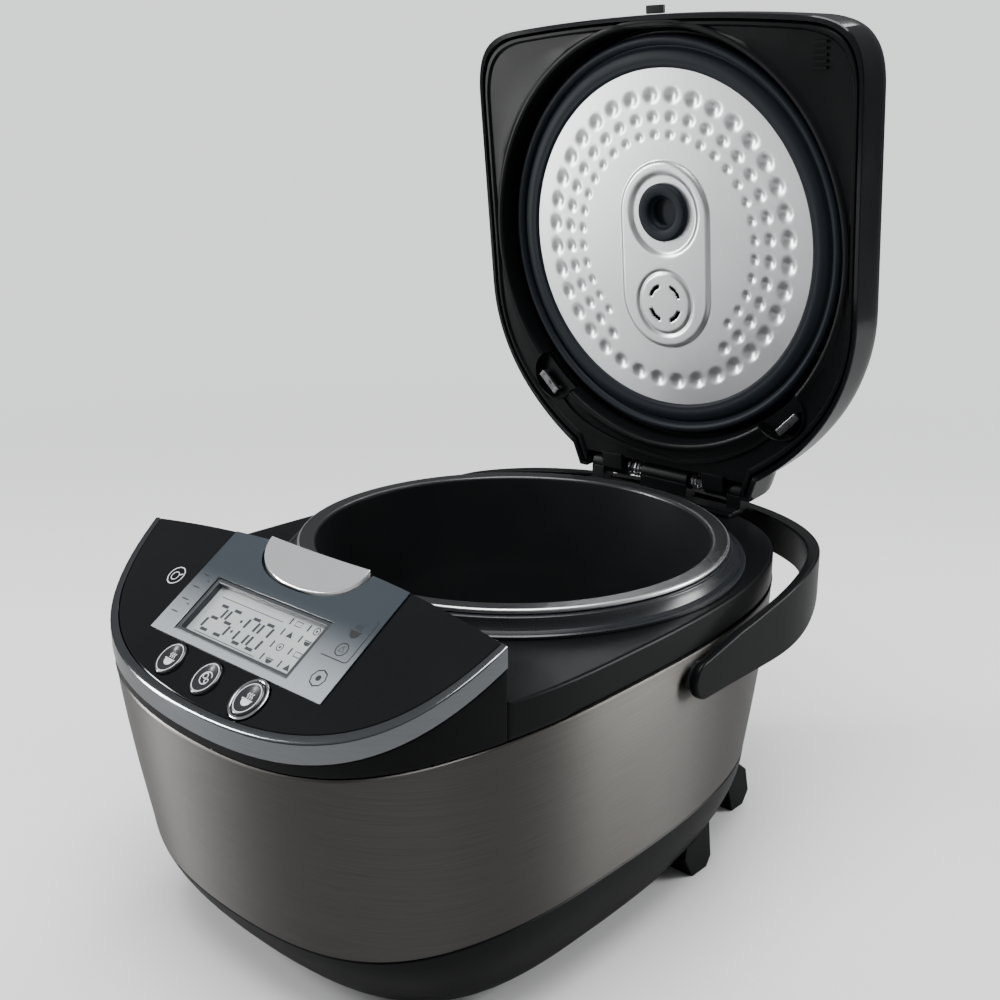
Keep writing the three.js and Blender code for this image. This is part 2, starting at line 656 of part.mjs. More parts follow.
function releaseButton() {
  const rear = -CONSOLE_REAR - 1.6;
  const top = slopeZ(rear) + BUTTON_RAISE;
  const front = rear - BUTTON_DEPTH;
  const frontTop = slopeZ(front) + 0.8;
  const slope = sideProfile([[front - 20, 100], [rear + 20, 100], [rear + 20, top + (top - frontTop) * 20 / BUTTON_DEPTH],
    [front - 20, frontTop - (top - frontTop) * 20 / BUTTON_DEPTH]], -60, 60);
  const block = extrude(buttonShape(0), BUTTON_UNDERSIDE_Z, TOP, 1, 8);
  return meet(block, slope);
}

function latchBlock(grow) {
  const nose = -LID_FRONT - 1.5;
  return box(-LATCH_HALF_WIDTH - grow, LATCH_HALF_WIDTH + grow, -CONSOLE_REAR - 14 - grow * 12, nose + grow,
    LATCH_Z - grow, LATCH_Z + LATCH_THICK + grow);
}

function lidCatch() {
  const z = LATCH_Z - GAP - CATCH_THICK;
  return box(-LATCH_HALF_WIDTH, LATCH_HALF_WIDTH, -LID_FRONT - 5, -LID_FRONT - GAP, z, z + CATCH_THICK);
}

// ---------- pot and heating ----------

function innerPot() {
  const outer = POT_RADIUS;
  const inner = POT_RADIUS - POT_WALL;
  const arc = (radius, cx, cz, from, to, count) => Array.from({ length: count + 1 }, (_, i) => {
    const angle = from + (to - from) * i / count;
    return [cx + radius * Math.cos(angle), cz + radius * Math.sin(angle)];
  });
  const centre = [outer - POT_CORNER, POT_BASE_Z + POT_CORNER];
  const under = arc(POT_CORNER, ...centre, -Math.PI / 2, 0, 3);
  const inside = arc(POT_CORNER - POT_WALL, ...centre, 0, -Math.PI / 2, 3);
  return turned([[0, POT_BASE_Z], ...under, [outer, RIM_Z - POT_FLANGE_THICK], [POT_FLANGE_RADIUS, RIM_Z - POT_FLANGE_THICK],
    [POT_FLANGE_RADIUS, RIM_Z - 0.8], [POT_FLANGE_RADIUS - 1, RIM_Z], [inner + 1.5, RIM_Z], [inner, RIM_Z - 2],
    ...inside, [0, POT_BASE_Z + POT_WALL]]);
}

function heatingChamber() {
  const r = CHAMBER_RADIUS;
  const outer = r + CHAMBER_WALL;
  const floor = HEATER_Z - GAP;
  const bevel = POT_CORNER - 7;
  return turned([[70, floor - CHAMBER_WALL], [outer - bevel, floor - CHAMBER_WALL], [outer, floor + bevel],
    [outer, DECK_Z - 1.6], [outer + 1.8, DECK_Z - 1.6], [outer + 1.8, DECK_Z], [r, DECK_Z], [r, floor + bevel + 0.5],
    [r - bevel, floor], [70, floor]]);
}

function heaterPlate() {
  const top = POT_BASE_Z - GAP;
  return turned([[HEATER_HOLE, HEATER_Z], [HEATER_RADIUS, HEATER_Z], [HEATER_RADIUS, top - 3],
    [HEATER_RADIUS - 3, top], [HEATER_HOLE, top]]);
}

function sensorPlunger() {
  const top = POT_BASE_Z - GAP;
  return turned([[0, top - 3], [SENSOR_RADIUS - 1.5, top - 3], [SENSOR_RADIUS - 1.5, top - 8],
    [SENSOR_RADIUS, top - 8], [SENSOR_RADIUS, top - 1], [SENSOR_RADIUS - 1, top], [0, top]], 20);
}

function heatShield() {
  return turned([[6, SHIELD_Z - 1], [HEATER_RADIUS - 4, SHIELD_Z - 1], [HEATER_RADIUS - 4, SHIELD_Z], [6, SHIELD_Z]]);
}

// ---------- lid parts, drawn shut ----------

const HINGE_NOTCH_HALF = EAR_END + 2;

function hingeNotch() {
  return box(-HINGE_NOTCH_HALF, HINGE_NOTCH_HALF, HINGE_Y - BARREL_RADIUS - 2.2, HINGE_Y + 20,
    LID_PART_Z - 5, HINGE_Z + BARREL_RADIUS + 1.5);
}

function lidShell() {
  let shell = cut(lidDome(0, LID_PART_Z, LID_HEIGHT), lidDome(LID_WALL, LID_PART_Z - 0.01, LID_HEIGHT - LID_WALL));
  const top = LID_PART_Z + LID_HEIGHT;
  const well = CAP_RADIUS + GAP + 0.4;
  shell = join(shell, cylinder(well + 2, top - CAP_HEIGHT, top - 1, 0, CAP_Y, 28));
  shell = cut(shell, cylinder(well, top - CAP_HEIGHT + 2, top + 5, 0, CAP_Y, 28));
  shell = cut(shell, cylinder(DUCT_RADIUS + GAP, top - CAP_HEIGHT - 5, top, 0, BUSH_Y, 24));
  return cut(shell, hingeNotch());
}

function lidLiner() {
  const low = LID_PART_Z + 1;
  const plate = extrude(lidOutline(LID_WALL + 3 * GAP), low, low + SHELL_WALL);
  const ceiling = LID_PART_Z + RECESS_DEPTH;
  const tub = cylinder(RECESS_RADIUS + 1.5, low, ceiling + 1.5, 0, 0, FACETS);
  const insideShell = extrude(lidOutline(LID_WALL + 3 * GAP), low, ceiling);
  let liner = join(plate, tub);
  for (const side of [-1, 1]) {
    const cup = cylinder(POCKET_RADIUS + 1.5, low, low + POCKET_DEPTH + 1.5, side * POCKET_X, POCKET_Y, 28);
    liner = join(liner, meet(cup, insideShell));
  }
  liner = cut(liner, cylinder(RECESS_RADIUS, low - 5, ceiling, 0, 0, FACETS));
  for (const side of [-1, 1]) {
    liner = cut(liner, cylinder(POCKET_RADIUS, low - 5, low + POCKET_DEPTH, side * POCKET_X, POCKET_Y, 28));
  }
  liner = cut(liner, hingeNotch());
  liner = join(liner, cylinder(DUCT_RADIUS, ceiling, LID_PART_Z + LID_HEIGHT - CAP_HEIGHT + 1, 0, BUSH_Y, 24));
  liner = cut(liner, cylinder(DUCT_RADIUS - 2, ceiling - 1, TOP, 0, BUSH_Y, 24));
  const reach = HINGE_Y - BARREL_RADIUS - 4;
  for (const side of [-1, 1]) {
    const [l, r] = [side * (SPRING_END + 1), side * KNUCKLE_END].sort((a, b) => a - b);
    const web = box(l, r, reach, HINGE_Y, low, HINGE_Z);
    liner = join(liner, web, crossCylinder(BARREL_RADIUS, l, r, HINGE_Y, HINGE_Z));
  }
  return cut(liner, crossCylinder(PIN_RADIUS + GAP, -FAR, FAR, HINGE_Y, HINGE_Z, 16));
}

function innerLidPlate() {
  const disc = cylinder(PLATE_RADIUS, PLATE_Z, PLATE_Z + PLATE_THICK, 0, 0, FACETS);
  let plate = cut(disc, cylinder(BUSH_RADIUS - 3, PLATE_Z - 5, PLATE_Z + 5, 0, BUSH_Y, 32));
  for (let i = 0; i < 4; i += 1) {
    const slot = new THREE.Shape();
    const middle = Math.PI / 4 + i * Math.PI / 2;
    slot.absarc(0, 0, VENT_SLOT_RADIUS + 1, middle - 0.4, middle + 0.4, false);
    slot.absarc(0, 0, VENT_SLOT_RADIUS - 1, middle + 0.4, middle - 0.4, true);
    plate = cut(plate, extrude(slot, PLATE_Z - 2, PLATE_Z + 3, 1, 5).translate(0, VENT_DISC_Y, 0));
  }
  return plate;
}

// The gasket grips the edge of the plate in a groove and seals on the pot's flange.
function sealRing() {
  const low = RIM_Z + GAP;
  const edge = PLATE_RADIUS;
  const above = PLATE_Z + PLATE_THICK;
  return turned([[edge - 2, PLATE_Z - GAP], [edge + GAP, PLATE_Z - GAP], [edge + GAP, above + GAP], [edge - 2, above + GAP],
    [edge - 2, above + 1.6], [SEAL_OUTER - 3, above + 1.2], [SEAL_OUTER, PLATE_Z + 0.5], [SEAL_OUTER - 0.6, low + 0.8],
    [SEAL_OUTER - 3.5, low], [SEAL_OUTER - 8, low + 1], [edge + 2, low + 1.4]]);
}

function ventBush() {
  const hole = BUSH_RADIUS - 3;
  const under = PLATE_Z - GAP;
  const above = PLATE_Z + PLATE_THICK + GAP;
  return turned([[BUSH_HOLE, under - 3], [BUSH_RADIUS - 2, under - 4], [BUSH_RADIUS, under - 2.4], [BUSH_RADIUS, under],
    [hole - GAP, under], [hole - GAP, above], [BUSH_RADIUS - 1, above], [BUSH_RADIUS - 2, above + 1.6],
    [BUSH_HOLE, above + 1.6]], 24).translate(0, BUSH_Y, 0);
}

function steamCap() {
  const low = LID_PART_Z + LID_HEIGHT - CAP_HEIGHT + 2 + GAP;
  const top = LID_PART_Z + LID_HEIGHT + CAP_PROUD;
  const r = CAP_RADIUS;
  let cap = solid(turned([[0, top - 1.4], [r - 3, top - 2], [r - 2, low], [r, low], [r, top - 3], [r - 3, top],
    [0, top + 0.6]], 28).translate(0, CAP_Y, 0));
  for (let i = -1; i <= 1; i += 1) {
    cap = cut(cap, box(-9, 9, CAP_Y + i * 6 - 1.2, CAP_Y + i * 6 + 1.2, top - 6, top + 5));
  }
  return cap;
}

function lidClip(side) {
  const bar = box(-9, 9, -2.5, 2.5, 0, 5);
  const clip = join(bar, box(-9, -5.5, -2.5, 2.5, 0, 7.6), box(5.5, 9, -2.5, 2.5, 0, 7.6));
  const low = LID_PART_Z + 1.4;
  const out = (RING_RADIUS + 4) / Math.hypot(POCKET_X, POCKET_Y);
  return geometryOf(clip).rotateZ(-side * Math.PI / 4).translate(side * POCKET_X * out, POCKET_Y * out, low);
}

// ---------- hinge ----------

function hingeBracket() {
  const onDeck = extrude(bodyOutline(1), DECK_Z, HINGE_Z);
  const plate = box(-EAR_END, EAR_END, HINGE_Y - 18, HINGE_Y + 2, DECK_Z + GAP, DECK_Z + 2.4);
  const spans = [[-BARREL_HALF, BARREL_HALF], [KNUCKLE_END + 0.8, EAR_END], [-EAR_END, -KNUCKLE_END - 0.8]];
  const bracket = spans.reduce((sum, [l, r]) => (
    join(sum, box(l, r, HINGE_Y - BARREL_RADIUS, HINGE_Y + 4, DECK_Z + 2, HINGE_Z - 2),
      crossCylinder(BARREL_RADIUS, l, r, HINGE_Y, HINGE_Z))
  ), meet(plate, onDeck));
  return cut(bracket, crossCylinder(PIN_RADIUS + GAP, -FAR, FAR, HINGE_Y, HINGE_Z, 16));
}

function hingeSpring(side) {
  const from = BARREL_HALF + 0.6;
  const winding = coil(PIN_RADIUS + 2.2, 0.8, from, SPRING_END, 4);
  return winding.rotateY(side * Math.PI / 2).translate(0, HINGE_Y, HINGE_Z);
}

// ---------- carry handle ----------

function handlePlan(inset, bar) {
  const x = HANDLE_OUTER_X - inset;
  const back = HANDLE_BACK - bar;
  const bend = HANDLE_BACK - 121 - bar / 2;
  const shape = new THREE.Shape();
  shape.moveTo(x, HANDLE_PIVOT_Y - 30);
  shape.lineTo(x, bend);
  shape.bezierCurveTo(x, bend + 63, x - 33, back - 2, 0, back);
  shape.bezierCurveTo(-x + 33, back - 2, -x, bend + 63, -x, bend);
  shape.lineTo(-x, HANDLE_PIVOT_Y - 30);
  return shape;
}

function handleSide() {
  const [y, z] = [HANDLE_PIVOT_Y, HANDLE_PIVOT_Z];
  const end = 10.3;
  const shape = new THREE.Shape();
  shape.moveTo(y, z + end);
  shape.absarc(y, z, end, Math.PI / 2, 1.5 * Math.PI, false);
  shape.lineTo(y + 88, z - end + 1);
  shape.bezierCurveTo(y + 115, z - 8, y + 128, z + 8, y + 150, z + 9);
  shape.lineTo(y + 220, z + 9);
  shape.lineTo(y + 220, DECK_Z - 0.6);
  shape.lineTo(y + 122, DECK_Z - 0.6);
  shape.bezierCurveTo(y + 90, DECK_Z - 1, y + 60, z + 21, y + 30, z + 17);
  return extrude(shape, -FAR, FAR, 1, 8).rotateX(Math.PI / 2).rotateZ(Math.PI / 2);
}

function carryHandle() {
  const outer = extrude(handlePlan(0, 0), 120, 200, 1, 14);
  const inner = extrude(handlePlan(HANDLE_ARM, HANDLE_BAR), 110, 210, 1, 14);
  const wider = box(-HANDLE_INNER_X, HANDLE_INNER_X, -FAR, HANDLE_PIVOT_Y, 110, 210);
  const bail = meet(cut(outer, inner, wider), handleSide());
  return cut(bail, crossCylinder(PIVOT_PIN + GAP, -FAR, FAR, HANDLE_PIVOT_Y, HANDLE_PIVOT_Z));
}

function handlePivot(side) {
  const root = BODY_HALF_WIDTH - 10;
  const face = HANDLE_INNER_X - GAP;
  const tip = HANDLE_OUTER_X - 0.6;
  const span = (a, b) => [side * a, side * b].sort((p, q) => p - q);
  const boss = crossCylinder(PIVOT_BOSS, ...span(root, face), HANDLE_PIVOT_Y, HANDLE_PIVOT_Z);
  const pin = crossCylinder(PIVOT_PIN, ...span(face - 1, tip), HANDLE_PIVOT_Y, HANDLE_PIVOT_Z);
  return join(boss, pin);
}

// ---------- assembly ----------

const cooker = new THREE.Group();
const body = new THREE.Group();
body.add(node('base_shell', baseShell(), mattBlack));
body.add(node('bottom_cover', bottomCover(), mattBlack));
SCREWS.forEach(([x, y], i) => body.add(node(`cover_screw_${i + 1}`, screw(x, y), springSteel)));
for (const [name, side] of [['left', -1], ['right', 1]]) {
  body.add(node(`front_foot_${name}`, foot(side * FEET.front[0], FEET.front[1]), darkRubber));
  body.add(node(`rear_foot_${name}`, foot(side * FEET.rear[0], FEET.rear[1]), darkRubber));
  body.add(node(`side_fin_${name}`, sideFin(side, sideFootProfile(), BODY_HALF_WIDTH - 46, BODY_HALF_WIDTH - 27), mattBlack));
  body.add(node(`rear_fin_${name}`, sideFin(side, rearFootProfile(), BODY_HALF_WIDTH - 62, BODY_HALF_WIDTH - 50), mattBlack));
  body.add(node(`handle_pivot_${name}`, handlePivot(side), smokedPlastic));
  body.add(node(`hinge_spring_${name}`, hingeSpring(side), springSteel));
}
body.add(node('mains_inlet', mainsInlet(), glossBlack));
body.add(node('steel_sleeve', steelSleeve(), brushedSteel));
body.add(node('top_collar', topCollar(), mattBlack));
body.add(node('rim_ring', rimRing(), smokedPlastic));
body.add(node('trim_strip', trimStrip(), brightTrim));
body.add(node('panel_fascia', panelFascia(), glossBlack));
body.add(node('panel_film', panelFilm(), silverFilm));
body.add(node('display_frame', lcdFrame(), smokedPlastic));
body.add(node('display_module', lcdModule(), screenGrey));
body.add(node('control_board', controlBoard(), boardGreen));
body.add(node('power_board', powerBoard(), boardGreen));
KEYS.forEach((one) => body.add(node(`key_${one.name}`, key(one), smokedPlastic)));
body.add(node('key_bezel', keyBezel(KEYS[2]), chrome));
body.add(node('release_button', releaseButton(), chrome));
body.add(node('release_spring', coil(3.6, 0.6, SHELF_Z + GAP, BUTTON_UNDERSIDE_Z - GAP, 4)
  .translate(22, -CONSOLE_REAR - 8, 0), springSteel));
body.add(node('latch_slide', latchBlock(0), smokedPlastic));
body.add(node('inner_pot', innerPot(), nonStick));
body.add(node('heating_chamber', heatingChamber(), aluminium));
body.add(node('heater_plate', heaterPlate(), aluminium));
body.add(node('heat_shield', heatShield(), aluminium));
body.add(node('sensor_plunger', sensorPlunger(), aluminium));
body.add(node('sensor_spring', coil(8, 0.8, SHIELD_Z + GAP, POT_BASE_Z - 3 - 2 * GAP, 3), springSteel));
body.add(node('hinge_bracket', hingeBracket(), mattBlack));
body.add(node('hinge_pin', crossCylinder(PIN_RADIUS, -EAR_END + 1, EAR_END - 1, HINGE_Y, HINGE_Z, 16), chrome));
body.add(node('carry_handle', carryHandle(), mattBlack));

const lid = new THREE.Group();
lid.add(node('lid_shell', lidShell(), glossBlack));
lid.add(node('lid_liner', lidLiner(), mattBlack));
lid.add(node('lid_catch', lidCatch(), smokedPlastic));
lid.add(node('lid_clip_left', lidClip(-1), aluminium));
lid.add(node('lid_clip_right', lidClip(1), aluminium));
lid.add(node('inner_lid_plate', innerLidPlate(), aluminium));
lid.add(node('seal_ring', sealRing(), darkRubber));
lid.add(node('vent_bush', ventBush(), darkRubber));
lid.add(node('steam_cap', steamCap(), glossBlack));
lid.children.forEach((part) => part.position.set(0, -HINGE_Y, -HINGE_Z));
lid.position.set(0, HINGE_Y, HINGE_Z);
lid.rotation.x = -LID_OPEN;

cooker.add(body, lid);
cooker.updateMatrixWorld(true);
const footprint = new THREE.Box3().setFromObject(cooker, true).getCenter(new THREE.Vector3());
cooker.position.set(-footprint.x, -footprint.y, 0);

export default cooker;
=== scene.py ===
import json
import math

import bmesh
import bpy
from mathutils import Matrix, Vector
from mathutils.geometry import interpolate_bezier


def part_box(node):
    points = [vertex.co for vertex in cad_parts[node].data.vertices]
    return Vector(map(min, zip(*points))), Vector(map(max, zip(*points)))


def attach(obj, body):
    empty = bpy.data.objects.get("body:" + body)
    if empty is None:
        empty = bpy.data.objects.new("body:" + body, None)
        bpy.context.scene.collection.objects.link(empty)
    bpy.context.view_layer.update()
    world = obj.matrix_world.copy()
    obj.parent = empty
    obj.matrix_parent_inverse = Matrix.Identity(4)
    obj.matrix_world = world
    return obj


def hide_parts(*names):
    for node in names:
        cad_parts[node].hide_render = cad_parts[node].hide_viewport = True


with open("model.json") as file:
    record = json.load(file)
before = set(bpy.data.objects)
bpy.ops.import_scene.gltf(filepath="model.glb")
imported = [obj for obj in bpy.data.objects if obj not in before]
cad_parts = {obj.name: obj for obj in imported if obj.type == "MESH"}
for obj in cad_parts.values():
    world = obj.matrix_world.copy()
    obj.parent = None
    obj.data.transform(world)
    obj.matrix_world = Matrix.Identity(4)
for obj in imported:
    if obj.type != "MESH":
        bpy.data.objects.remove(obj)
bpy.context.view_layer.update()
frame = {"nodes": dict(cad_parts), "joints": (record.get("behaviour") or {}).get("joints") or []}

# ---- place, table, light and viewpoint ----
# The cooker stands on a pale table in soft light. Shapes below are drawn in millimetres
# about the pot's upright axis, with the table at zero, and are then moved to the row's frame.
pot_low, pot_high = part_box("inner_pot")
TO_ROW = Matrix.Translation((0, (pot_low.y + pot_high.y) / 2, 0)) @ Matrix.Scale(0.001, 4)

camera = bpy.data.objects.new("viewpoint", bpy.data.cameras.new("viewpoint"))
bpy.context.scene.collection.objects.link(camera)
camera.location = TO_ROW @ Vector((464.2, -507.4, 417.0))
camera.rotation_euler = (math.radians(90 - 16.94), math.radians(0.2), math.radians(43.0))
camera.data.sensor_width = 36
camera.data.lens = 46.44
camera.data.clip_start = 0.01
bpy.context.scene.camera = camera

BACKGROUND = 1.4
PALE = (0.97, 0.98, 1.0, 1)


def add_node(tree, kind, values=None, **settings):
    """A shader node with its settings, and values for inputs that are not linked."""
    node = tree.nodes.new("ShaderNode" + kind)
    for key, value in settings.items():
        setattr(node, key, value)
    for socket, value in (values or {}).items():
        node.inputs[socket].default_value = value
    return node


def join(tree, source, out, target, into):
    tree.links.new(source.outputs[out], target.inputs[into])


table = bpy.data.meshes.new("table")
sheet = bmesh.new()
bmesh.ops.create_grid(sheet, x_segments=1, y_segments=1, size=9)
sheet.to_mesh(table)
sheet.free()
table_top = bpy.data.objects.new("table", table)
bpy.context.scene.collection.objects.link(table_top)
table_paint = bpy.data.materials.new("pale_table")
table_paint.use_nodes = True
paint_tree = table_paint.node_tree
paint = paint_tree.nodes["Principled BSDF"]
paint.inputs["Roughness"].default_value = 0.7
# Reflections see a darker table than the viewer does, and far from the cooker the table fades
# into the pale background, so no horizon shows.
ray = add_node(paint_tree, "LightPath")
paper = add_node(paint_tree, "Mix", data_type="RGBA",
                 values={"A": (0.86, 0.86, 0.86, 1), "B": (0.3, 0.3, 0.3, 1)})
spot = add_node(paint_tree, "TexCoord")
distance = add_node(paint_tree, "VectorMath", operation="LENGTH")
fade_out = add_node(paint_tree, "MapRange", {"From Min": 0.3, "From Max": 1.5},
                    interpolation_type="SMOOTHSTEP")
seen = add_node(paint_tree, "Math", operation="MULTIPLY")
glow = add_node(paint_tree, "Emission", {"Color": PALE, "Strength": BACKGROUND})
fading = add_node(paint_tree, "MixShader")
join(paint_tree, ray, "Is Glossy Ray", paper, "Factor")
join(paint_tree, paper, "Result", paint, "Base Color")
join(paint_tree, spot, "Object", distance, 0)
join(paint_tree, distance, "Value", fade_out, "Value")
join(paint_tree, fade_out, "Result", seen, 0)
join(paint_tree, ray, "Is Camera Ray", seen, 1)
join(paint_tree, seen, 0, fading, "Fac")
join(paint_tree, paint, 0, fading, 1)
join(paint_tree, glow, 0, fading, 2)
join(paint_tree, fading, 0, paint_tree.nodes["Material Output"], "Surface")
table.materials.append(table_paint)

sky = bpy.data.worlds.new("studio")
bpy.context.scene.world = sky
sky.use_nodes = True
sky_tree = sky.node_tree
back = sky_tree.nodes["Background"]
back.inputs["Color"].default_value = PALE
heading = add_node(sky_tree, "TexCoord")
upward = add_node(sky_tree, "SeparateXYZ")
graded = add_node(sky_tree, "MapRange", interpolation_type="SMOOTHSTEP",
                  values={"From Min": -0.2, "From Max": 0.9, "To Min": 0.05, "To Max": 0.3})
eye = add_node(sky_tree, "LightPath")
choose = add_node(sky_tree, "Mix", {"B": BACKGROUND})
join(sky_tree, heading, "Generated", upward, "Vector")
join(sky_tree, upward, "Z", graded, "Value")
join(sky_tree, graded, "Result", choose, "A")
join(sky_tree, eye, "Is Camera Ray", choose, "Factor")
join(sky_tree, choose, "Result", back, "Strength")


def soft_light(name, place, aim, width, height, power):
    """A soft box: a wide panel of light turned towards a point."""
    lamp = bpy.data.objects.new(name, bpy.data.lights.new(name, "AREA"))
    lamp.data.shape = "RECTANGLE"
    lamp.data.size = width
    lamp.data.size_y = height
    lamp.data.energy = power
    lamp.location = place
    lamp.rotation_euler = (Vector(aim) - Vector(place)).to_track_quat("-Z", "Y").to_euler()
    bpy.context.scene.collection.objects.link(lamp)


soft_light("left_panel", (-1.35, -1.0, 0.6), (0, -0.1, 0.12), 0.2, 1.2, 34)
soft_light("right_panel", (1.3, 1.3, 0.6), (0, 0, 0.15), 0.5, 1.2, 34)
soft_light("top_panel", (0.2, -0.3, 1.9), (0, 0, 0.1), 1.3, 1.3, 52)
soft_light("rear_panel", (-0.5, 1.6, 1.9), (0, 0.1, 0.3), 0.8, 0.8, 14)

# ---- brushed sleeve round the body ----
# A 0.8 mm stainless sheet, wrapped round the body and brushed along its length. Its top edge is
# rolled over, and plastic tongues of the base and collar hold it from inside.
SHEET = 0.8
MIDDLE_Y = -33
TUB_BOTTOM, SLEEVE_BOTTOM, SLEEVE_TOP = 6, 59, 160


def curve(a, b, c, d, steps):
    """Points along one curved edge of a plan, without the last."""
    ends = [Vector((x, y, 0)) for x, y in (a, b, c, d)]
    return [(p.x, p.y) for p in interpolate_bezier(*ends, steps + 1)[:-1]]


def body_plan(inset=0.0):
    w, front, back = 136 - inset, -217 + inset, 150 - inset
    right = curve((0, front), (w - 26, front), (w, front + 37), (w, -85), 30)
    right += [(w, -85), (w, -77), (w, -68)]
    right += curve((w, -60), (w, 75), (w - 24, back), (0, back), 36)
    return right + [(0, back)] + [(-x, y) for x, y in reversed(right[1:])]


def sag(y):
    """How far the sleeve's edges have dropped towards the front, from 0 to about 1."""
    return max(0.0, (-85 - y) / 132) ** 4


def steel_low(y):
    return SLEEVE_BOTTOM - 14 * sag(y)


def steel_high(y):
    return SLEEVE_TOP - 19 * sag(y)


def plan_scale(z):
    """The body's size at one height: full at the sleeve's top, less and less towards the table."""
    if z >= SLEEVE_TOP:
        return 1.0
    if z >= SLEEVE_BOTTOM:
        return 1 - 0.066 * ((SLEEVE_TOP - z) / (SLEEVE_TOP - SLEEVE_BOTTOM)) ** 1.4
    return 0.934 - 0.174 * ((SLEEVE_BOTTOM - z) / (SLEEVE_BOTTOM - TUB_BOTTOM)) ** 1.8


def body_row(inset, height):
    """The body's plan at one height, which may change along it, drawn in as the walls lean in."""
    row = []
    for x, y in body_plan(inset):
        z = height(y) if callable(height) else height
        s = plan_scale(z)
        row.append(Vector((x * s, MIDDLE_Y + (y - MIDDLE_Y) * s, z)))
    return row


def skin(rows):
    """A wall drawn from the first row of points through the rest, its open ends filled flat."""
    bm = bmesh.new()
    verts = [bm.verts.new(p) for p in rows[0]]
    edges = [bm.edges.new((v, verts[i - 1])) for i, v in enumerate(verts)]
    for row in rows[1:]:
        made = bmesh.ops.extrude_edge_only(bm, edges=edges)["geom"]
        fresh = {g for g in made if isinstance(g, bmesh.types.BMVert)}
        verts = [next(e.other_vert(v) for e in v.link_edges if e.other_vert(v) in fresh)
                 for v in verts]
        for v, p in zip(verts, row):
            v.co = p
        edges = [g for g in made if isinstance(g, bmesh.types.BMEdge) and fresh.issuperset(g.verts)]
    bmesh.ops.remove_doubles(bm, verts=bm.verts[:], dist=0.001)
    lids = bmesh.ops.holes_fill(bm, edges=[e for e in bm.edges if e.is_boundary], sides=0)["faces"]
    bmesh.ops.triangulate(bm, faces=lids)
    return bm


def add_piece(name, bm, body, material, stands_for=(), sharp=34):
    """Turn a finished shape into a piece that rides on a body of the cooker."""
    bmesh.ops.remove_doubles(bm, verts=bm.verts[:], dist=0.001)
    bmesh.ops.recalc_face_normals(bm, faces=bm.faces[:])
    bm.transform(TO_ROW)
    mesh = bpy.data.meshes.new(name)
    bm.to_mesh(mesh)
    bm.free()
    mesh.shade_smooth()
    mesh.set_sharp_from_angle(angle=math.radians(sharp))
    mesh.materials.append(material)
    piece = bpy.data.objects.new(name, mesh)
    bpy.context.scene.collection.objects.link(piece)
    even = piece.modifiers.new("even_shading", "WEIGHTED_NORMAL")
    even.keep_sharp = True
    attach(piece, body)
    if stands_for:
        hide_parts(*stands_for)
    return piece


def effect(name, inputs, outputs):
    """An empty shader group with named number or vector sockets."""
    group = bpy.data.node_groups.new(name, "ShaderNodeTree")
    for label, kind, value in inputs:
        socket = group.interface.new_socket(name=label, in_out="INPUT", socket_type=kind)
        if value is not None:
            socket.default_value = value
    for label in outputs:
        group.interface.new_socket(name=label, in_out="OUTPUT", socket_type="NodeSocketFloat")
    return group, group.nodes.new("NodeGroupInput"), group.nodes.new("NodeGroupOutput")


# Relief and tone of a finish: a fine noise stretched by Stretch, over a slow cloudy change.
finish, finish_in, finish_out = effect(
    "surface_finish",
    [("Place", "NodeSocketVector", None), ("Stretch", "NodeSocketVector", (1, 1, 1)),
     ("Fineness", "NodeSocketFloat", 900.0), ("Cloud", "NodeSocketFloat", 12.0)],
    ["Relief", "Cloud", "Specks"])
stretch = add_node(finish, "VectorMath", operation="MULTIPLY")
fine = add_node(finish, "TexNoise", {"Detail": 3})
cloud = add_node(finish, "TexNoise", {"Detail": 4})
specks = add_node(finish, "MapRange", {"From Min": 0.62, "From Max": 0.75})
join(finish, finish_in, "Place", stretch, 0)
join(finish, finish_in, "Stretch", stretch, 1)
join(finish, stretch, 0, fine, "Vector")
join(finish, finish_in, "Fineness", fine, "Scale")
join(finish, finish_in, "Place", cloud, "Vector")
join(finish, finish_in, "Cloud", cloud, "Scale")
join(finish, fine, "Fac", finish_out, "Relief")
join(finish, cloud, "Fac", finish_out, "Cloud")
join(finish, fine, "Fac", specks, "Value")
join(finish, specks, "Result", finish_out, "Specks")


def surface(name, dark, light, rough, metal=0.0, stretch=(1, 1, 1), fineness=900, cloud=12,
            relief=0.1, depth=0.0001, shine=0.0, tone=0.5, specular=0.5):
    """A finish whose colour runs between two tones, with its own fine relief and uneven gloss."""
    made = bpy.data.materials.new(name)
    made.use_nodes = True
    tree = made.node_tree
    shader = tree.nodes["Principled BSDF"]
    shader.inputs["Metallic"].default_value = metal
    shader.inputs["Coat Weight"].default_value = shine
    shader.inputs["Coat Roughness"].default_value = 0.04
    shader.inputs["Specular IOR Level"].default_value = specular
    place = add_node(tree, "TexCoord")
    look = add_node(tree, "Group", node_tree=finish, name="look",
                    values={"Stretch": stretch, "Fineness": fineness, "Cloud": cloud})
    mix = add_node(tree, "Mix", data_type="RGBA", name="tones",
                   values={"A": (*dark, 1), "B": (*light, 1)})
    blend = add_node(tree, "Mix", {"Factor": tone})
    gloss = add_node(tree, "MapRange", {"From Min": 0.3, "From Max": 0.7,
                                        "To Min": rough[0], "To Max": rough[1]})
    bump = add_node(tree, "Bump", {"Strength": relief, "Distance": depth})
    join(tree, place, "Object", look, "Place")
    join(tree, look, "Relief", blend, "A")
    join(tree, look, "Cloud", blend, "B")
    join(tree, blend, "Result", mix, "Factor")
    join(tree, mix, "Result", shader, "Base Color")
    join(tree, look, "Cloud", gloss, "Value")
    join(tree, gloss, "Result", shader, "Roughness")
    join(tree, look, "Relief", bump, "Height")
    join(tree, bump, "Normal", shader, "Normal")
    return made


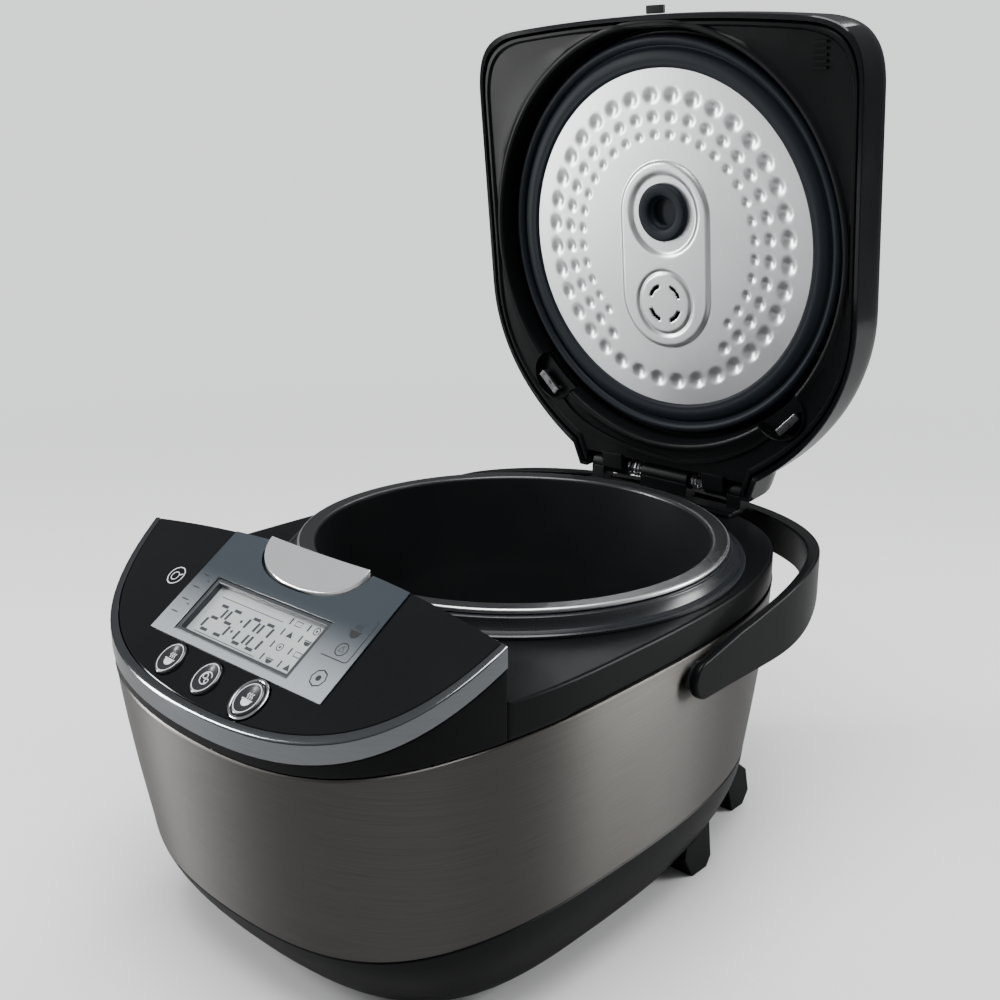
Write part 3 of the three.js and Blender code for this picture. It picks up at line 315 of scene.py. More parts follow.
brushed = surface("brushed_stainless", (0.066, 0.063, 0.06), (0.145, 0.138, 0.13), (0.34, 0.42),
                  metal=1.0, stretch=(0.012, 0.012, 1), fineness=2600, cloud=3, relief=0.25,
                  depth=0.00012, tone=0.35)
brushed_shader = brushed.node_tree.nodes["Principled BSDF"]
brushed_shader.inputs["Anisotropic"].default_value = 0.9
brushed_shader.inputs["Anisotropic Rotation"].default_value = 0.25
around = add_node(brushed.node_tree, "Tangent", direction_type="RADIAL", axis="Z")
join(brushed.node_tree, around, "Tangent", brushed_shader, "Tangent")


def sleeve_row(inset, up, lift=0.0):
    return body_row(inset, lambda y: steel_low(y) + up * (steel_high(y) - steel_low(y)) + lift)


sleeve_rows = [sleeve_row(SHEET, 0), sleeve_row(0.15, 0), sleeve_row(0, 0, 0.3)]
sleeve_rows += [sleeve_row(0, i / 14) for i in range(1, 14)]
sleeve_rows += [sleeve_row(0, 1, -1.6), sleeve_row(-0.25, 1, -0.9), sleeve_row(-0.1, 1, -0.25)]
sleeve_rows += [sleeve_row(0.3, 1, 0.1)]
sleeve_rows += [sleeve_row(SHEET, 1, -0.2), sleeve_row(SHEET, 0.5), sleeve_row(SHEET, 0)]
add_piece("sleeve_sheet", skin(sleeve_rows), "base", brushed, ["steel_sleeve"])

# ---- base tub ----
# The moulded black tub under the sleeve, drawn in towards the table. It carries the heater, and the
# mains inlet sits in a pocket in its rear wall.
matt_black = surface("moulded_black", (0.002, 0.0022, 0.0024), (0.005, 0.0054, 0.006), (0.28, 0.4),
                     fineness=1500, relief=0.2, depth=0.00005, specular=0.1)


def draw_up(bm, rise):
    """Raise a flat shape's faces, leaving walls below their edges."""
    made = bmesh.ops.extrude_face_region(bm, geom=bm.faces[:])["geom"]
    risen = [g for g in made if isinstance(g, bmesh.types.BMVert)]
    bmesh.ops.translate(bm, verts=risen, vec=(0, 0, rise))


def prism(points, low, high, place=Matrix.Identity(4)):
    """A flat outline drawn up into a block."""
    bm = bmesh.new()
    bm.faces.new([bm.verts.new((x, y, low)) for x, y in points])
    draw_up(bm, high - low)
    bmesh.ops.holes_fill(bm, edges=[e for e in bm.edges if e.is_boundary], sides=0)
    bmesh.ops.recalc_face_normals(bm, faces=bm.faces[:])
    bm.transform(place)
    return bm


# Turns a drawing of (y, z) points so that it is drawn out along x.
SIDEWAYS = Matrix(((0, 0, 1, 0), (1, 0, 0, 0), (0, 1, 0, 0), (0, 0, 0, 1)))


def block(left, right, front, back, low, high, place=Matrix.Identity(4)):
    return prism([(left, front), (right, front), (right, back), (left, back)], low, high, place)


def round_bar(radius, length, sides, place):
    bm = bmesh.new()
    bmesh.ops.create_cone(bm, cap_ends=True, segments=sides, radius1=radius, radius2=radius,
                          depth=length, matrix=place)
    return bm


def rod(radius, low, high, x=0.0, y=0.0, sides=64):
    return round_bar(radius, high - low, sides, Matrix.Translation((x, y, (low + high) / 2)))


def carve(bm, tool, how="DIFFERENCE"):
    """Cut one closed shape with another, or keep what lies in both."""
    pair = []
    for shape in (bm, tool):
        bmesh.ops.remove_doubles(shape, verts=shape.verts[:], dist=0.0005)
        bmesh.ops.recalc_face_normals(shape, faces=shape.faces[:])
        mesh = bpy.data.meshes.new("cutting")
        shape.to_mesh(mesh)
        shape.free()
        pair.append(bpy.data.objects.new("cutting", mesh))
        bpy.context.scene.collection.objects.link(pair[-1])
    cut = pair[0].modifiers.new("cut", "BOOLEAN")
    cut.operation = how
    cut.solver = "EXACT"
    cut.object = pair[1]
    result = bmesh.new()
    result.from_object(pair[0], bpy.context.evaluated_depsgraph_get())
    for part in pair:
        mesh = part.data
        bpy.data.objects.remove(part)
        bpy.data.meshes.remove(mesh)
    return result


def soften(bm, width, segments=2, angle=38):
    """Round the sharp edges, as a mould leaves them."""
    bmesh.ops.remove_doubles(bm, verts=bm.verts[:], dist=0.01)
    bmesh.ops.dissolve_degenerate(bm, dist=0.01, edges=bm.edges[:])
    edges = [e for e in bm.edges
             if len(e.link_faces) == 2 and e.calc_face_angle() > math.radians(angle)]
    bmesh.ops.bevel(bm, geom=edges, offset=width, offset_type="OFFSET", segments=segments,
                    profile=0.5, affect="EDGES", clamp_overlap=False, material=-1)
    bmesh.ops.triangulate(bm, faces=[f for f in bm.faces if len(f.verts) > 4])
    return bm


tub_rows = [body_row(inset, z) for inset, z in ((34, 6), (8, 6), (4, 6.3), (1.5, 7.4), (0.4, 9.2))]
tub_rows += [body_row(0, 12 + 4 * i) for i in range(7)]
tub_rows += [body_row(0, lambda y, t=t: 36 + t * (steel_low(y) - 37.4))
             for t in (0.25, 0.5, 0.75, 1.0)]
tub_rows += [body_row(0.7, lambda y: steel_low(y) - 0.45), body_row(3, lambda y: steel_low(y) - 0.4)]
tub_rows += [body_row(inset, z) for inset, z in ((3, 30), (3, 10), (34, 9), (34, 6))]
tub = carve(skin(tub_rows), block(-16.5, 16.5, 105, 160, 17.5, 42.5))
add_piece("base_tub", tub, "base", matt_black, ["base_shell"], sharp=30)

# ---- collar: band, deck and console body ----
# One black moulding above the sleeve. It closes the body round the pot's ring and rises at the front
# into the console, whose rear wall stands over the deck.
SLOPE = math.radians(33.36)
SLOPE_Y, SLOPE_Z = -193.3, 172.7
ON_SLOPE = Matrix.Translation((0, SLOPE_Y, SLOPE_Z)) @ Matrix.Rotation(SLOPE, 4, "X")
CONSOLE_REAR, CONSOLE_BOW = -136.5, 0.00055
BUTTON_HALF, BUTTON_REAR, BUTTON_DEPTH = 37, -138.1, 16


def slope_height(y):
    return SLOPE_Z + (y - SLOPE_Y) * math.tan(SLOPE)


def under_slope(drop):
    top_line = [(300, slope_height(300) - drop), (-300, slope_height(-300) - drop)]
    return prism([(-300, -10), (300, -10)] + top_line, -300, 300, SIDEWAYS)


def console_area(inset, low, high):
    """Everything in front of the console's bowed rear edge."""
    edge = [(x, CONSOLE_REAR - CONSOLE_BOW * x * x - inset) for x in range(-150, 151, 10)]
    return prism(edge + [(150, -300), (-150, -300)], low, high)


def keep_console(shape, drop, low, high):
    """The part of a shape that lies in the console and under its slope."""
    return carve(carve(shape, console_area(0, low, high), "INTERSECT"), under_slope(drop),
                 "INTERSECT")


def button_plan(grow):
    w, rear = BUTTON_HALF + grow, BUTTON_REAR + grow
    front = rear - BUTTON_DEPTH - 2 * grow
    bow = curve((-w, rear), (-w, front + 4), (-w / 2, front), (0, front), 14)
    return bow + [(0, front)] + [(-x, y) for x, y in reversed(bow)]


def collar_rows(inset, top):
    foot = body_row(inset + 0.6, lambda y: steel_high(y) + 0.4)
    return [foot] + [body_row(inset, lambda y, t=t: (1 - t) * (steel_high(y) + 1.1) + t * top)
                     for t in (0, 0.25, 0.5, 1)]


deck = carve(carve(skin(collar_rows(0, 178)), console_area(0, 100, 260)),
             rod(118, 100, 250, sides=128))
soften(deck, 1.6, 3)
front_band = soften(keep_console(skin(collar_rows(0, 260)), 10.6, 90, 280), 0.5)
core = keep_console(prism(body_plan(3.7), 165, 260), 3.9, 160, 280)
core = carve(core, block(-54, 42, 1, 40.5, -14, 3, ON_SLOPE))
core = carve(core, prism(button_plan(0.6), 192, 300))
soften(core, 0.4)


def merged(*shapes):
    """Several closed shapes kept in one mesh."""
    whole = bmesh.new()
    for shape in shapes:
        mesh = bpy.data.meshes.new("merging")
        bmesh.ops.recalc_face_normals(shape, faces=shape.faces[:])
        shape.to_mesh(mesh)
        shape.free()
        whole.from_mesh(mesh)
        bpy.data.meshes.remove(mesh)
    return whole


add_piece("collar_moulding", merged(deck, front_band, core), "base", matt_black,
          ["top_collar"])

# ---- console face and its bright edge ----
# A polished black plate lies on the console, with openings for the display, the keys and the
# release button. A satin silver strip is clipped round its front edge.
gloss_black = surface("polished_black", (0.0025, 0.003, 0.0035), (0.006, 0.007, 0.008), (0.07, 0.16),
                      fineness=400, relief=0.02, depth=0.00003, specular=0.3)
WINDOW = (-50, 38, 4, 37.5)
KEY_HALF_WIDTH, KEY_HALF_LENGTH = 8, 9
KEYS = {"left": (-35, -10.4), "middle": (-5, -11.6), "right": (27, -11.6)}


def oval(x, v, half_width, half_length, steps=40):
    turn = [2 * math.pi * i / steps for i in range(steps)]
    return [(x + half_width * math.cos(a), v + half_length * math.sin(a)) for a in turn]


face = keep_console(prism(body_plan(3.6), 130, 260), 0.2, 120, 280)
face = carve(face, under_slope(3.4))
face = carve(face, block(*WINDOW, -10, 10, ON_SLOPE))
for key_name, (x, v) in KEYS.items():
    room = 2.6 if key_name == "right" else 0.4
    opening = oval(x, v, KEY_HALF_WIDTH + room, KEY_HALF_LENGTH + room)
    face = carve(face, prism(opening, -10, 10, ON_SLOPE))
face = carve(face, prism(button_plan(0.6), 150, 300))
soften(face, 0.25, 1)
add_piece("console_face", face, "base", gloss_black, ["panel_fascia"], sharp=20)

silver = surface("satin_silver", (0.17, 0.18, 0.19), (0.27, 0.285, 0.3), (0.08, 0.15), metal=1.0,
                 stretch=(0.05, 0.05, 1), fineness=1200, relief=0.05, depth=0.00003)


def edge_section(out, within):
    """One cross-section of the strip, from a point of the outer line and one of the inner line."""
    def at(across, drop):
        x, y = [a + (b - a) * across for a, b in zip(out, within)]
        return Vector((x, y, slope_height(y) - drop))
    corners = ((1, 10), (0.1, 10), (0, 9.6), (0, 0.9), (0.07, 0.35), (0.25, 0.05), (0.8, 0),
               (0.95, 0.1), (1, 0.4))
    return [at(*corner) for corner in corners]


outer, inner = [[p for p in body_plan(inset) if p[1] < -110] for inset in (-0.35, 3.2)]
half = (len(outer) + 1) // 2
outer, inner = [line[half:] + line[:half] for line in (outer, inner)]
strip = carve(skin([edge_section(a, b) for a, b in zip(outer, inner)]), console_area(0, 80, 290),
              "INTERSECT")
add_piece("console_edge", strip, "base", silver, ["trim_strip"])

# ---- printed film with its marks ----
# A half-millimetre silver film is glued on the console face round the display. It is slate grey
# towards the lid and bright silver towards the front, with small dark marks printed on it.
film_silver = surface("silver_film", (0.36, 0.385, 0.41), (0.47, 0.5, 0.53), (0.14, 0.24),
                      metal=0.35, stretch=(1, 0.02, 0.02), cloud=5, relief=0.03, depth=0.00002)
film_tree = film_silver.node_tree
height = add_node(film_tree, "SeparateXYZ")
fade = add_node(film_tree, "MapRange", {"From Min": 0.1735, "From Max": 0.197},
                interpolation_type="SMOOTHSTEP")
slate = add_node(film_tree, "Mix", {"B": (0.05, 0.062, 0.072, 1)}, data_type="RGBA")
join(film_tree, film_tree.nodes["Texture Coordinate"], "Object", height, "Vector")
join(film_tree, height, "Z", fade, "Value")
join(film_tree, fade, "Result", slate, "Factor")
join(film_tree, film_tree.nodes["tones"], "Result", slate, "A")
join(film_tree, slate, "Result", film_tree.nodes["Principled BSDF"], "Base Color")

film = carve(block(-65, 65, 0, 70, 0.15, 0.65, ON_SLOPE), block(*WINDOW, -5, 5, ON_SLOPE))
film = carve(film, console_area(0.6, 100, 280), "INTERSECT")
film = carve(film, prism(button_plan(1.6), 150, 300))
add_piece("console_film", soften(film, 0.15, 1), "base", film_silver, ["panel_film"])


def stroke(points, width, closed=False):
    """A thin printed line through (x, v) points."""
    bm = bmesh.new()
    count = len(points)
    pairs = []
    for i, (x, v) in enumerate(points):
        before = points[i - 1] if closed or i else points[i]
        after = points[(i + 1) % count] if closed or i < count - 1 else points[i]
        along = Vector((after[0] - before[0], after[1] - before[1]))
        side = Vector((-along.y, along.x)).normalized() * width / 2
        pairs.append([bm.verts.new((x + way * side.x, v + way * side.y, 0)) for way in (1, -1)])
    for i in range(count if closed else count - 1):
        a, b = pairs[i], pairs[(i + 1) % count]
        bm.faces.new((a[0], a[1], b[1], b[0]))
    return bm


def patch(points):
    bm = bmesh.new()
    bm.faces.new([bm.verts.new((x, v, 0)) for x, v in points])
    return bm


def arc(x, v, radius, start, end, steps=14):
    turns = [math.radians(start + (end - start) * i / steps) for i in range(steps + 1)]
    return [(x + radius * math.cos(a), v + radius * math.sin(a)) for a in turns]


def circle(x, v, radius, steps):
    return arc(x, v, radius, 0, 360, steps)[:-1]


def hoop(x, v, radius, steps, width):
    """A printed circle."""
    return stroke(circle(x, v, radius, steps), width, True)


def wisp(x, v, tall):
    return stroke([(x + 0.5 * math.sin(i * 1.3), v + tall * i / 6) for i in range(7)], 0.45)


def bowl_mark(x, v, size):
    """A bowl with three wisps of steam."""
    brim = stroke([(x - size * 1.2, v + 0.4), (x + size * 1.2, v + 0.4)], 0.6)
    wisps = [wisp(x + dx, v + 1.3, size * 0.9) for dx in (-size * 0.5, 0, size * 0.5)]
    return [patch(arc(x, v, size, 180, 360)), brim] + wisps


INK = 0.06


def print_marks(name, shapes, lift, material):
    whole = merged(*shapes)
    draw_up(whole, INK)
    bmesh.ops.recalc_face_normals(whole, faces=whole.faces[:])
    whole.transform(ON_SLOPE @ Matrix.Translation((0, 0, lift)))
    return add_piece(name, whole, "base", material)


ink = surface("printing_ink", (0.006, 0.007, 0.008), (0.014, 0.015, 0.017), (0.35, 0.5),
              fineness=3000, relief=0.05)
film_marks = bowl_mark(54, 37, 3.2) + [hoop(54, 27, 3.4, 24, 0.5)]
film_marks += [stroke([(52.4, 25.8), (55.6, 25.8), (54, 28.9)], 0.5, True)]
film_marks += [hoop(54, 10.5, 4.4, 8, 0.7), patch(circle(54, 10.5, 1.5, 18))]
bracket_line = [(45, 21.5), (60, 21.5)] + arc(60, 23.5, 2, -90, 0, 6)
film_marks += [stroke(bracket_line + [(62, 44)] + arc(60, 44, 2, 0, 90, 6), 0.5)]
film_marks += [stroke([(-61, 12 + 8 * i), (-56, 12 + 8 * i)], 0.6) for i in range(4)]
film_marks += [stroke([(-55, v), (-53, v)], 0.6) for v in (33, 18)]
print_marks("film_printing", film_marks, 0.64, ink)

pale_ink = surface("pale_printing", (0.55, 0.58, 0.6), (0.68, 0.7, 0.72), (0.3, 0.4),
                   fineness=3000, relief=0.05)
face_marks = [hoop(-79, 30, 5.2, 32, 0.55), hoop(-79.5, 29.6, 2.4, 20, 0.45)]
face_marks += [stroke([(-77.4, 30.6), (-74.9, 32)], 0.6)]
print_marks("face_printing", face_marks, -0.17, pale_ink)

# ---- display ----
# A dark frame lines the window down to a grey liquid crystal glass. Dark segments for the time show
# on the left, and two columns of small cooking signs on the right, each with a bar beside it.
dark_frame = surface("display_frame_black", (0.02, 0.022, 0.025), (0.045, 0.05, 0.055),
                     (0.3, 0.42), fineness=1800)
rim = carve(block(-49.8, 37.8, 4.2, 37.3, -3.2, 0.1, ON_SLOPE),
            block(-47.2, 35.2, 6.6, 34.9, -6, 5, ON_SLOPE))
add_piece("display_surround", soften(rim, 0.5), "base", dark_frame,
          ["display_frame"])

crystal = surface("liquid_crystal", (0.36, 0.385, 0.385), (0.45, 0.48, 0.48), (0.1, 0.16),
                  fineness=700, cloud=25, relief=0.02, depth=0.00002, shine=0.2)
glass = soften(block(-52, 40, 2, 39.5, -9, -3.4, ON_SLOPE), 0.3, 1)
add_piece("display_glass", glass, "base", crystal, ["display_module"])

SEGMENT = {"0": "abcdef", "2": "abged", "5": "afgcd"}


def digit(x, v, lit, tall=15.0, wide=7.2, lean=0.09, gap=0.14):
    """One seven-segment figure, leaning a little to the right."""
    corner = {"tl": (0, tall), "tr": (wide, tall), "ml": (0, tall / 2), "mr": (wide, tall / 2),
              "bl": (0, 0), "br": (wide, 0)}
    ends = {"a": "tl tr", "b": "tr mr", "c": "mr br", "d": "bl br", "e": "ml bl", "f": "tl ml",
            "g": "ml mr"}
    marks = []
    for name in lit:
        (x0, v0), (x1, v1) = [corner[e] for e in ends[name].split()]
        start = (x0 + (x1 - x0) * gap, v0 + (v1 - v0) * gap)
        end = (x1 - (x1 - x0) * gap, v1 - (v1 - v0) * gap)
        marks.append(stroke([(x + p[0] + lean * p[1], v + p[1]) for p in (start, end)], 1.7))
    return marks


crystal_marks = []
for x, figure in ((-40, "2"), (-29.5, "5"), (-14.5, "0"), (-4, "0")):
    crystal_marks += digit(x, 11, SEGMENT[figure])
crystal_marks += [patch(oval(x, v, 0.9, 0.9, 12)) for x, v in ((-18.6, 15.5), (-17.9, 22))]
crystal_marks += [stroke([(-42, v), (6, v)], 0.4) for v in (8.6, 30)]
for column, x in enumerate((16.0, 29.0)):
    for line, v in enumerate((10.5, 18.0, 25.5, 32.0)):
        sign = (line + 2 * column) % 4
        if sign == 0:
            crystal_marks += [patch(arc(x, v, 2.2, 180, 360))]
            crystal_marks += [stroke([(x - 2.7, v + 0.5), (x + 2.7, v + 0.5)], 0.5)]
        elif sign == 1:
            crystal_marks += [hoop(x, v, 1.9, 16, 0.5), patch(oval(x, v, 0.7, 0.7, 10))]
        elif sign == 2:
            crystal_marks += [patch([(x - 2.2, v - 1.6), (x + 2.2, v - 1.6), (x, v + 1.9)])]
        else:
            corners = ((-2.2, -1.4), (2.2, -1.4), (2.2, 1.2), (-2.2, 1.2))
            crystal_marks += [stroke([(x + dx, v + dv) for dx, dv in corners], 0.5, True)]
        crystal_marks += [stroke([(x - 5.6, v - 1.8), (x - 5.6, v + 2.0)], 1.0)]
crystal_ink = surface("crystal_segments", (0.035, 0.04, 0.045), (0.06, 0.066, 0.072), (0.2, 0.3),
                      fineness=2000, relief=0.03)
print_marks("display_segments", crystal_marks, -3.42, crystal_ink)

# ---- keys ----
# Three oval keys of dark moulded plastic with a fine silver line and a small sign printed on each.
# They are dished for a fingertip. The right one stands in a chromed bezel.
key_black = surface("key_black", (0.010, 0.011, 0.013), (0.022, 0.024, 0.027), (0.16, 0.26),
                    fineness=1500, relief=0.08, shine=0.4)
chrome = surface("polished_chrome", (0.60, 0.62, 0.63), (0.78, 0.80, 0.81), (0.05, 0.12),
                 metal=1.0, fineness=500, relief=0.02, depth=0.00002)
KEY_TOP, DISH, DISH_EDGE = 1.4, 0.9, 0.8


def dished(x, v, half_width, half_length, low, high, dish):
    """A key top: an oval block whose face sinks towards the middle."""
    rows = [(1, low), (1, high - 0.7), (0.97, high - 0.25), (0.9, high), (DISH_EDGE, high - 0.1)]
    rows += [(s, high - dish * (1 - (s / DISH_EDGE) ** 2)) for s in (0.6, 0.4, 0.2, 0.06)]
    return skin([[Vector((px, pv, z)) for px, pv in oval(x, v, half_width * s, half_length * s, 48)]
                 for s, z in rows])


for key_name, (x, v) in KEYS.items():
    body = "key_" + key_name
    cap = dished(x, v, KEY_HALF_WIDTH, KEY_HALF_LENGTH, -2, KEY_TOP, DISH)
    cap.transform(ON_SLOPE)
    add_piece("key_cap_" + key_name, cap, body, key_black, [body], sharp=60)
    marks = bowl_mark(x, v - 1, 3.0) if key_name != "middle" else [
        stroke(arc(x, v, 3.4, 20, 320, 18), 0.5), hoop(x - 1.2, v + 1, 1.4, 14, 0.45),
        hoop(x + 1.3, v - 1.2, 1.2, 14, 0.45)]
    sign = merged(*marks, stroke(oval(x, v, 6.7, 7.7, 44), 0.45, True))
    for vert in sign.verts:
        across, along = (vert.co.x - x) / KEY_HALF_WIDTH, (vert.co.y - v) / KEY_HALF_LENGTH
        away = min(1.0, math.hypot(across, along) / DISH_EDGE)
        vert.co.z = KEY_TOP - DISH * (1 - away ** 2) - (0.1 if away >= 1 else 0) + 0.02
    draw_up(sign, INK)
    sign.transform(ON_SLOPE)
    add_piece("key_sign_" + key_name, sign, body, pale_ink)
x, v = KEYS["right"]
bezel = carve(prism(oval(x, v, 10, 11, 64), -2.2, 0.8, ON_SLOPE),
              prism(oval(x, v, 8.4, 9.4, 64), -5, 5, ON_SLOPE))
add_piece("key_bezel_ring", soften(bezel, 0.45, 3), "base", chrome, ["key_bezel"])

# ---- release button and latch ----
# A chromed half-moon at the top of the console. Pressing it draws back the latch that holds the lid.
button_top = slope_height(BUTTON_REAR) + 3.5
button_fall = button_top - slope_height(BUTTON_REAR - BUTTON_DEPTH) - 0.8


def button_section(x):
    """The space under the button's top, which is dished towards the middle."""
    middle = button_top - 0.6 * (1 - (x / BUTTON_HALF) ** 2)
    behind, before = [Vector((x, BUTTON_REAR + off, middle + off * button_fall / BUTTON_DEPTH))
                      for off in (20, -40)]
    return [Vector((x, before.y, 150)), Vector((x, behind.y, 150)), behind, before]


button = carve(prism(button_plan(0), 197.6, 260),
               skin([button_section(x) for x in range(-48, 49, 4)]), "INTERSECT")
bright_button = surface("bright_plated_plastic", (0.66, 0.67, 0.68), (0.80, 0.81, 0.82),
                        (0.09, 0.16), metal=0.7, fineness=500, relief=0.02, depth=0.00002)
add_piece("release_button_cap", soften(button, 0.5, 4), "release_button", bright_button,
          ["release_button"], sharp=50)

# ---- pot ring, pot and heating well ----
# The pot is pressed aluminium with a black non-stick coat, bare and bright on the rim of its flange.
# It hangs in a ring of dark plastic with a paler bead, over an aluminium well.


def turned(profile, steps=160, x=0.0, y=0.0):
    """Spin (radius, height) points round an upright axis."""
    bm = bmesh.new()
    verts = [bm.verts.new((x + r, y, z)) for r, z in profile]
    edges = [bm.edges.new(pair) for pair in zip(verts, verts[1:])]
    bmesh.ops.spin(bm, geom=verts + edges, cent=(x, y, 0), axis=(0, 0, 1), angle=2 * math.pi,
                   steps=steps, use_merge=True, use_duplicate=False)
    bmesh.ops.remove_doubles(bm, verts=bm.verts[:], dist=0.001)
    return bm


def bend(radius, r, z, start, end, steps=10):
    """Points of a rounded corner in a turned profile."""
    return arc(r, z, radius, start, end, steps)


non_stick = surface("non_stick_coat", (0.006, 0.0065, 0.007), (0.016, 0.017, 0.018),
                    (0.26, 0.4), fineness=2200, relief=0.2, depth=0.00004, shine=0.15)
pot_tree = non_stick.node_tree
pot_shader = pot_tree.nodes["Principled BSDF"]
pot_place = add_node(pot_tree, "SeparateXYZ")
across = add_node(pot_tree, "CombineXYZ")
shift_y = add_node(pot_tree, "Math", {1: (pot_low.y + pot_high.y) / 2}, operation="SUBTRACT")
radius = add_node(pot_tree, "VectorMath", operation="LENGTH")
bare = add_node(pot_tree, "MapRange", {"From Min": 0.1188, "From Max": 0.1191})
metal_tone = add_node(pot_tree, "Mix", {"B": (0.72, 0.73, 0.74, 1)}, data_type="RGBA")
join(pot_tree, pot_tree.nodes["Texture Coordinate"], "Object", pot_place, "Vector")
join(pot_tree, pot_place, "Y", shift_y, 0)
join(pot_tree, pot_place, "X", across, "X")
join(pot_tree, shift_y, 0, across, "Y")
join(pot_tree, across, 0, radius, 0)
join(pot_tree, radius, "Value", bare, "Value")
join(pot_tree, pot_tree.nodes["tones"], "Result", metal_tone, "A")
join(pot_tree, bare, "Result", metal_tone, "Factor")
join(pot_tree, metal_tone, "Result", pot_shader, "Base Color")
join(pot_tree, bare, "Result", pot_shader, "Metallic")

pot = [(0, 47), (60, 47), (61, 47.4), (66, 47.4), (67, 47)] + bend(20, 92.2, 67, -90, 0)
pot += [(112.2, 187.6), (119.4, 187.6)] + bend(0.6, 119.4, 188.2, -90, 0, 3)
pot += bend(1.2, 118.8, 188.8, 0, 90, 5) + [(112.8, 190)] + bend(2.2, 112.2, 187.8, 90, 180, 5)
pot += bend(17.8, 92.2, 67, 0, -90) + [(60, 49.2), (0, 49.2)]
add_piece("cooking_pot", turned(pot, 200), "pot", non_stick, ["inner_pot"], sharp=50)

ring_black = surface("ring_plastic", (0.008, 0.009, 0.011), (0.018, 0.02, 0.023), (0.22, 0.32),
                     fineness=1600, relief=0.1)
ring = [(114.7, 178.4), (129, 178.4), (129, 179.6), (128.4, 180.2), (126.6, 180.2)]
ring += [(126.2, 179.6), (123.4, 180.4), (122.2, 182.5), (121.8, 185.4)]
ring += bend(0.5, 121.2, 186, 0, 90, 4) + [(120.2, 187), (114.7, 187.2), (114.7, 178.4)]
add_piece("pot_ring", turned(ring, 200), "base", ring_black, ["rim_ring"], sharp=40)

satin = surface("pressed_aluminium", (0.56, 0.57, 0.58), (0.72, 0.73, 0.74), (0.26, 0.38),
                metal=1.0, fineness=1200, cloud=18, relief=0.1, depth=0.00004)
well = [(70, 34.4), (102.7, 34.4), (115.7, 47.4), (115.7, 176.4), (117.5, 176.4), (117.5, 178)]
well += [(114.5, 178), (114.5, 49), (101.5, 35.6), (70, 35.6), (70, 34.4)]
add_piece("heating_well", turned(well, 96), "base", satin,
          ["heating_chamber"])

# ---- lid shell ----
# The polished black dome of the lid, drawn here as if shut and then turned back on its hinge. Its
# walls stand upright and then round over to a flat crown, with a neck for the hinge at the rear.
hinge = next(j for j in frame["joints"] if j["name"] == "lid_hinge")
OPEN = math.radians(-min(hinge["range_deg"]))
HINGE = Vector((0, 148, 191.2))
TURN_BACK = Matrix.Translation(HINGE) @ Matrix.Rotation(-OPEN, 4, "X") @ Matrix.Translation(-HINGE)
HINGE_NOTCH = (-60, 60, 139.3, 170, 170, 199.2)
BARREL = 6.5
CAP_Y = -8


def lid_plan(inset=0.0):
    w, front, neck, back = 134 - inset, -129 + inset, 66 - inset, 150 - inset
    corner = w - 30
    side = curve((0, front), (corner / 3, front), (corner * 2 / 3, front + 1.7), (corner, front + 5), 12)
    side += curve((corner, front + 5), (w - 8, front + 8), (w, front + 18), (w, front + 42), 16)
    side += [(w, front + 42 + (32 - front - 42) * i / 14) for i in range(14)]
    side += curve((w, 32), (w, 88), (neck + 26, back - 28), (neck + 5, back - 14), 24)
    side += [(neck + 5, back - 14)] + [(neck * k, back) for k in (1, 0.8, 0.6, 0.4, 0.2)]
    return side + [(0, back)] + [(-x, y) for x, y in reversed(side[1:])]


def lid_row(inset, z, scale=1.0):
    return [Vector((x * scale, y * scale, z)) for x, y in lid_plan(inset)]


def dome_row(up, inset=0.0, drop=0.0):
    """A row of the rounding above the lid's upright wall: up runs from 0 to 1 at the crown."""
    scale = 0.62 + 0.38 * math.sqrt(max(0.0, 1 - up ** 2.4))
    return lid_row(inset, 197 + 33.3 * up - drop, scale)


def round_over(shape):
    """Turn a shape drawn with the lid shut back to where the open lid carries it."""
    shape.transform(TURN_BACK)
    return shape


lid_rows = [lid_row(2.5, 181.3), lid_row(0.5, 181.1)] + [lid_row(0, z) for z in (181.7, 186, 192)]
lid_rows += [dome_row(u) for u in (0, 0.12, 0.24, 0.36, 0.48, 0.6, 0.7, 0.79, 0.86, 0.92, 0.96,
                                   0.985, 1.0)]
lid_rows += [lid_row(0, 230.3, s) for s in (0.5, 0.36, 0.22, 0.1)] + [lid_row(2.5, 227.8, 0.1)]
lid_rows += [dome_row(u, 2.5, 2.5) for u in (1.0, 0.92, 0.79, 0.6, 0.36, 0.0)]
lid_rows += [lid_row(2.5, 184), lid_row(2.5, 181.3)]
lid_top = carve(skin(lid_rows), rod(26.8, 216, 240, y=CAP_Y, sides=96))
lid_top = carve(lid_top, block(*HINGE_NOTCH))
cap_well = [(0, 216), (28.4, 216), (28.4, 229), (26.8, 229), (26.8, 217.5), (0, 217.5)]
add_piece("lid_dome", round_over(merged(lid_top, turned(cap_well, 96, y=CAP_Y))), "lid",
          gloss_black, ["lid_shell"], sharp=30)

# ---- lid liner ----
# The inner moulding of the lid: a flat border, a raised bead round it, and a round well that holds the
# inner lid. Two round pockets by the hinge hold the clips, and a raised rib curves between them.


def ring_row(radius, z, plan_inset=3.7):
    """A round row with a point for each point of the lid's plan, so that the two can be skinned."""
    row = []
    for x, y in lid_plan(plan_inset):
        away = math.hypot(x, y)
        row.append(Vector((x * radius / away, y * radius / away, z)))
    return row


def toward_ring(part, radius, z, inset=3.7):
    rows = zip(lid_row(inset, z), ring_row(radius, z, inset))
    return [a.lerp(b, part) for a, b in rows]


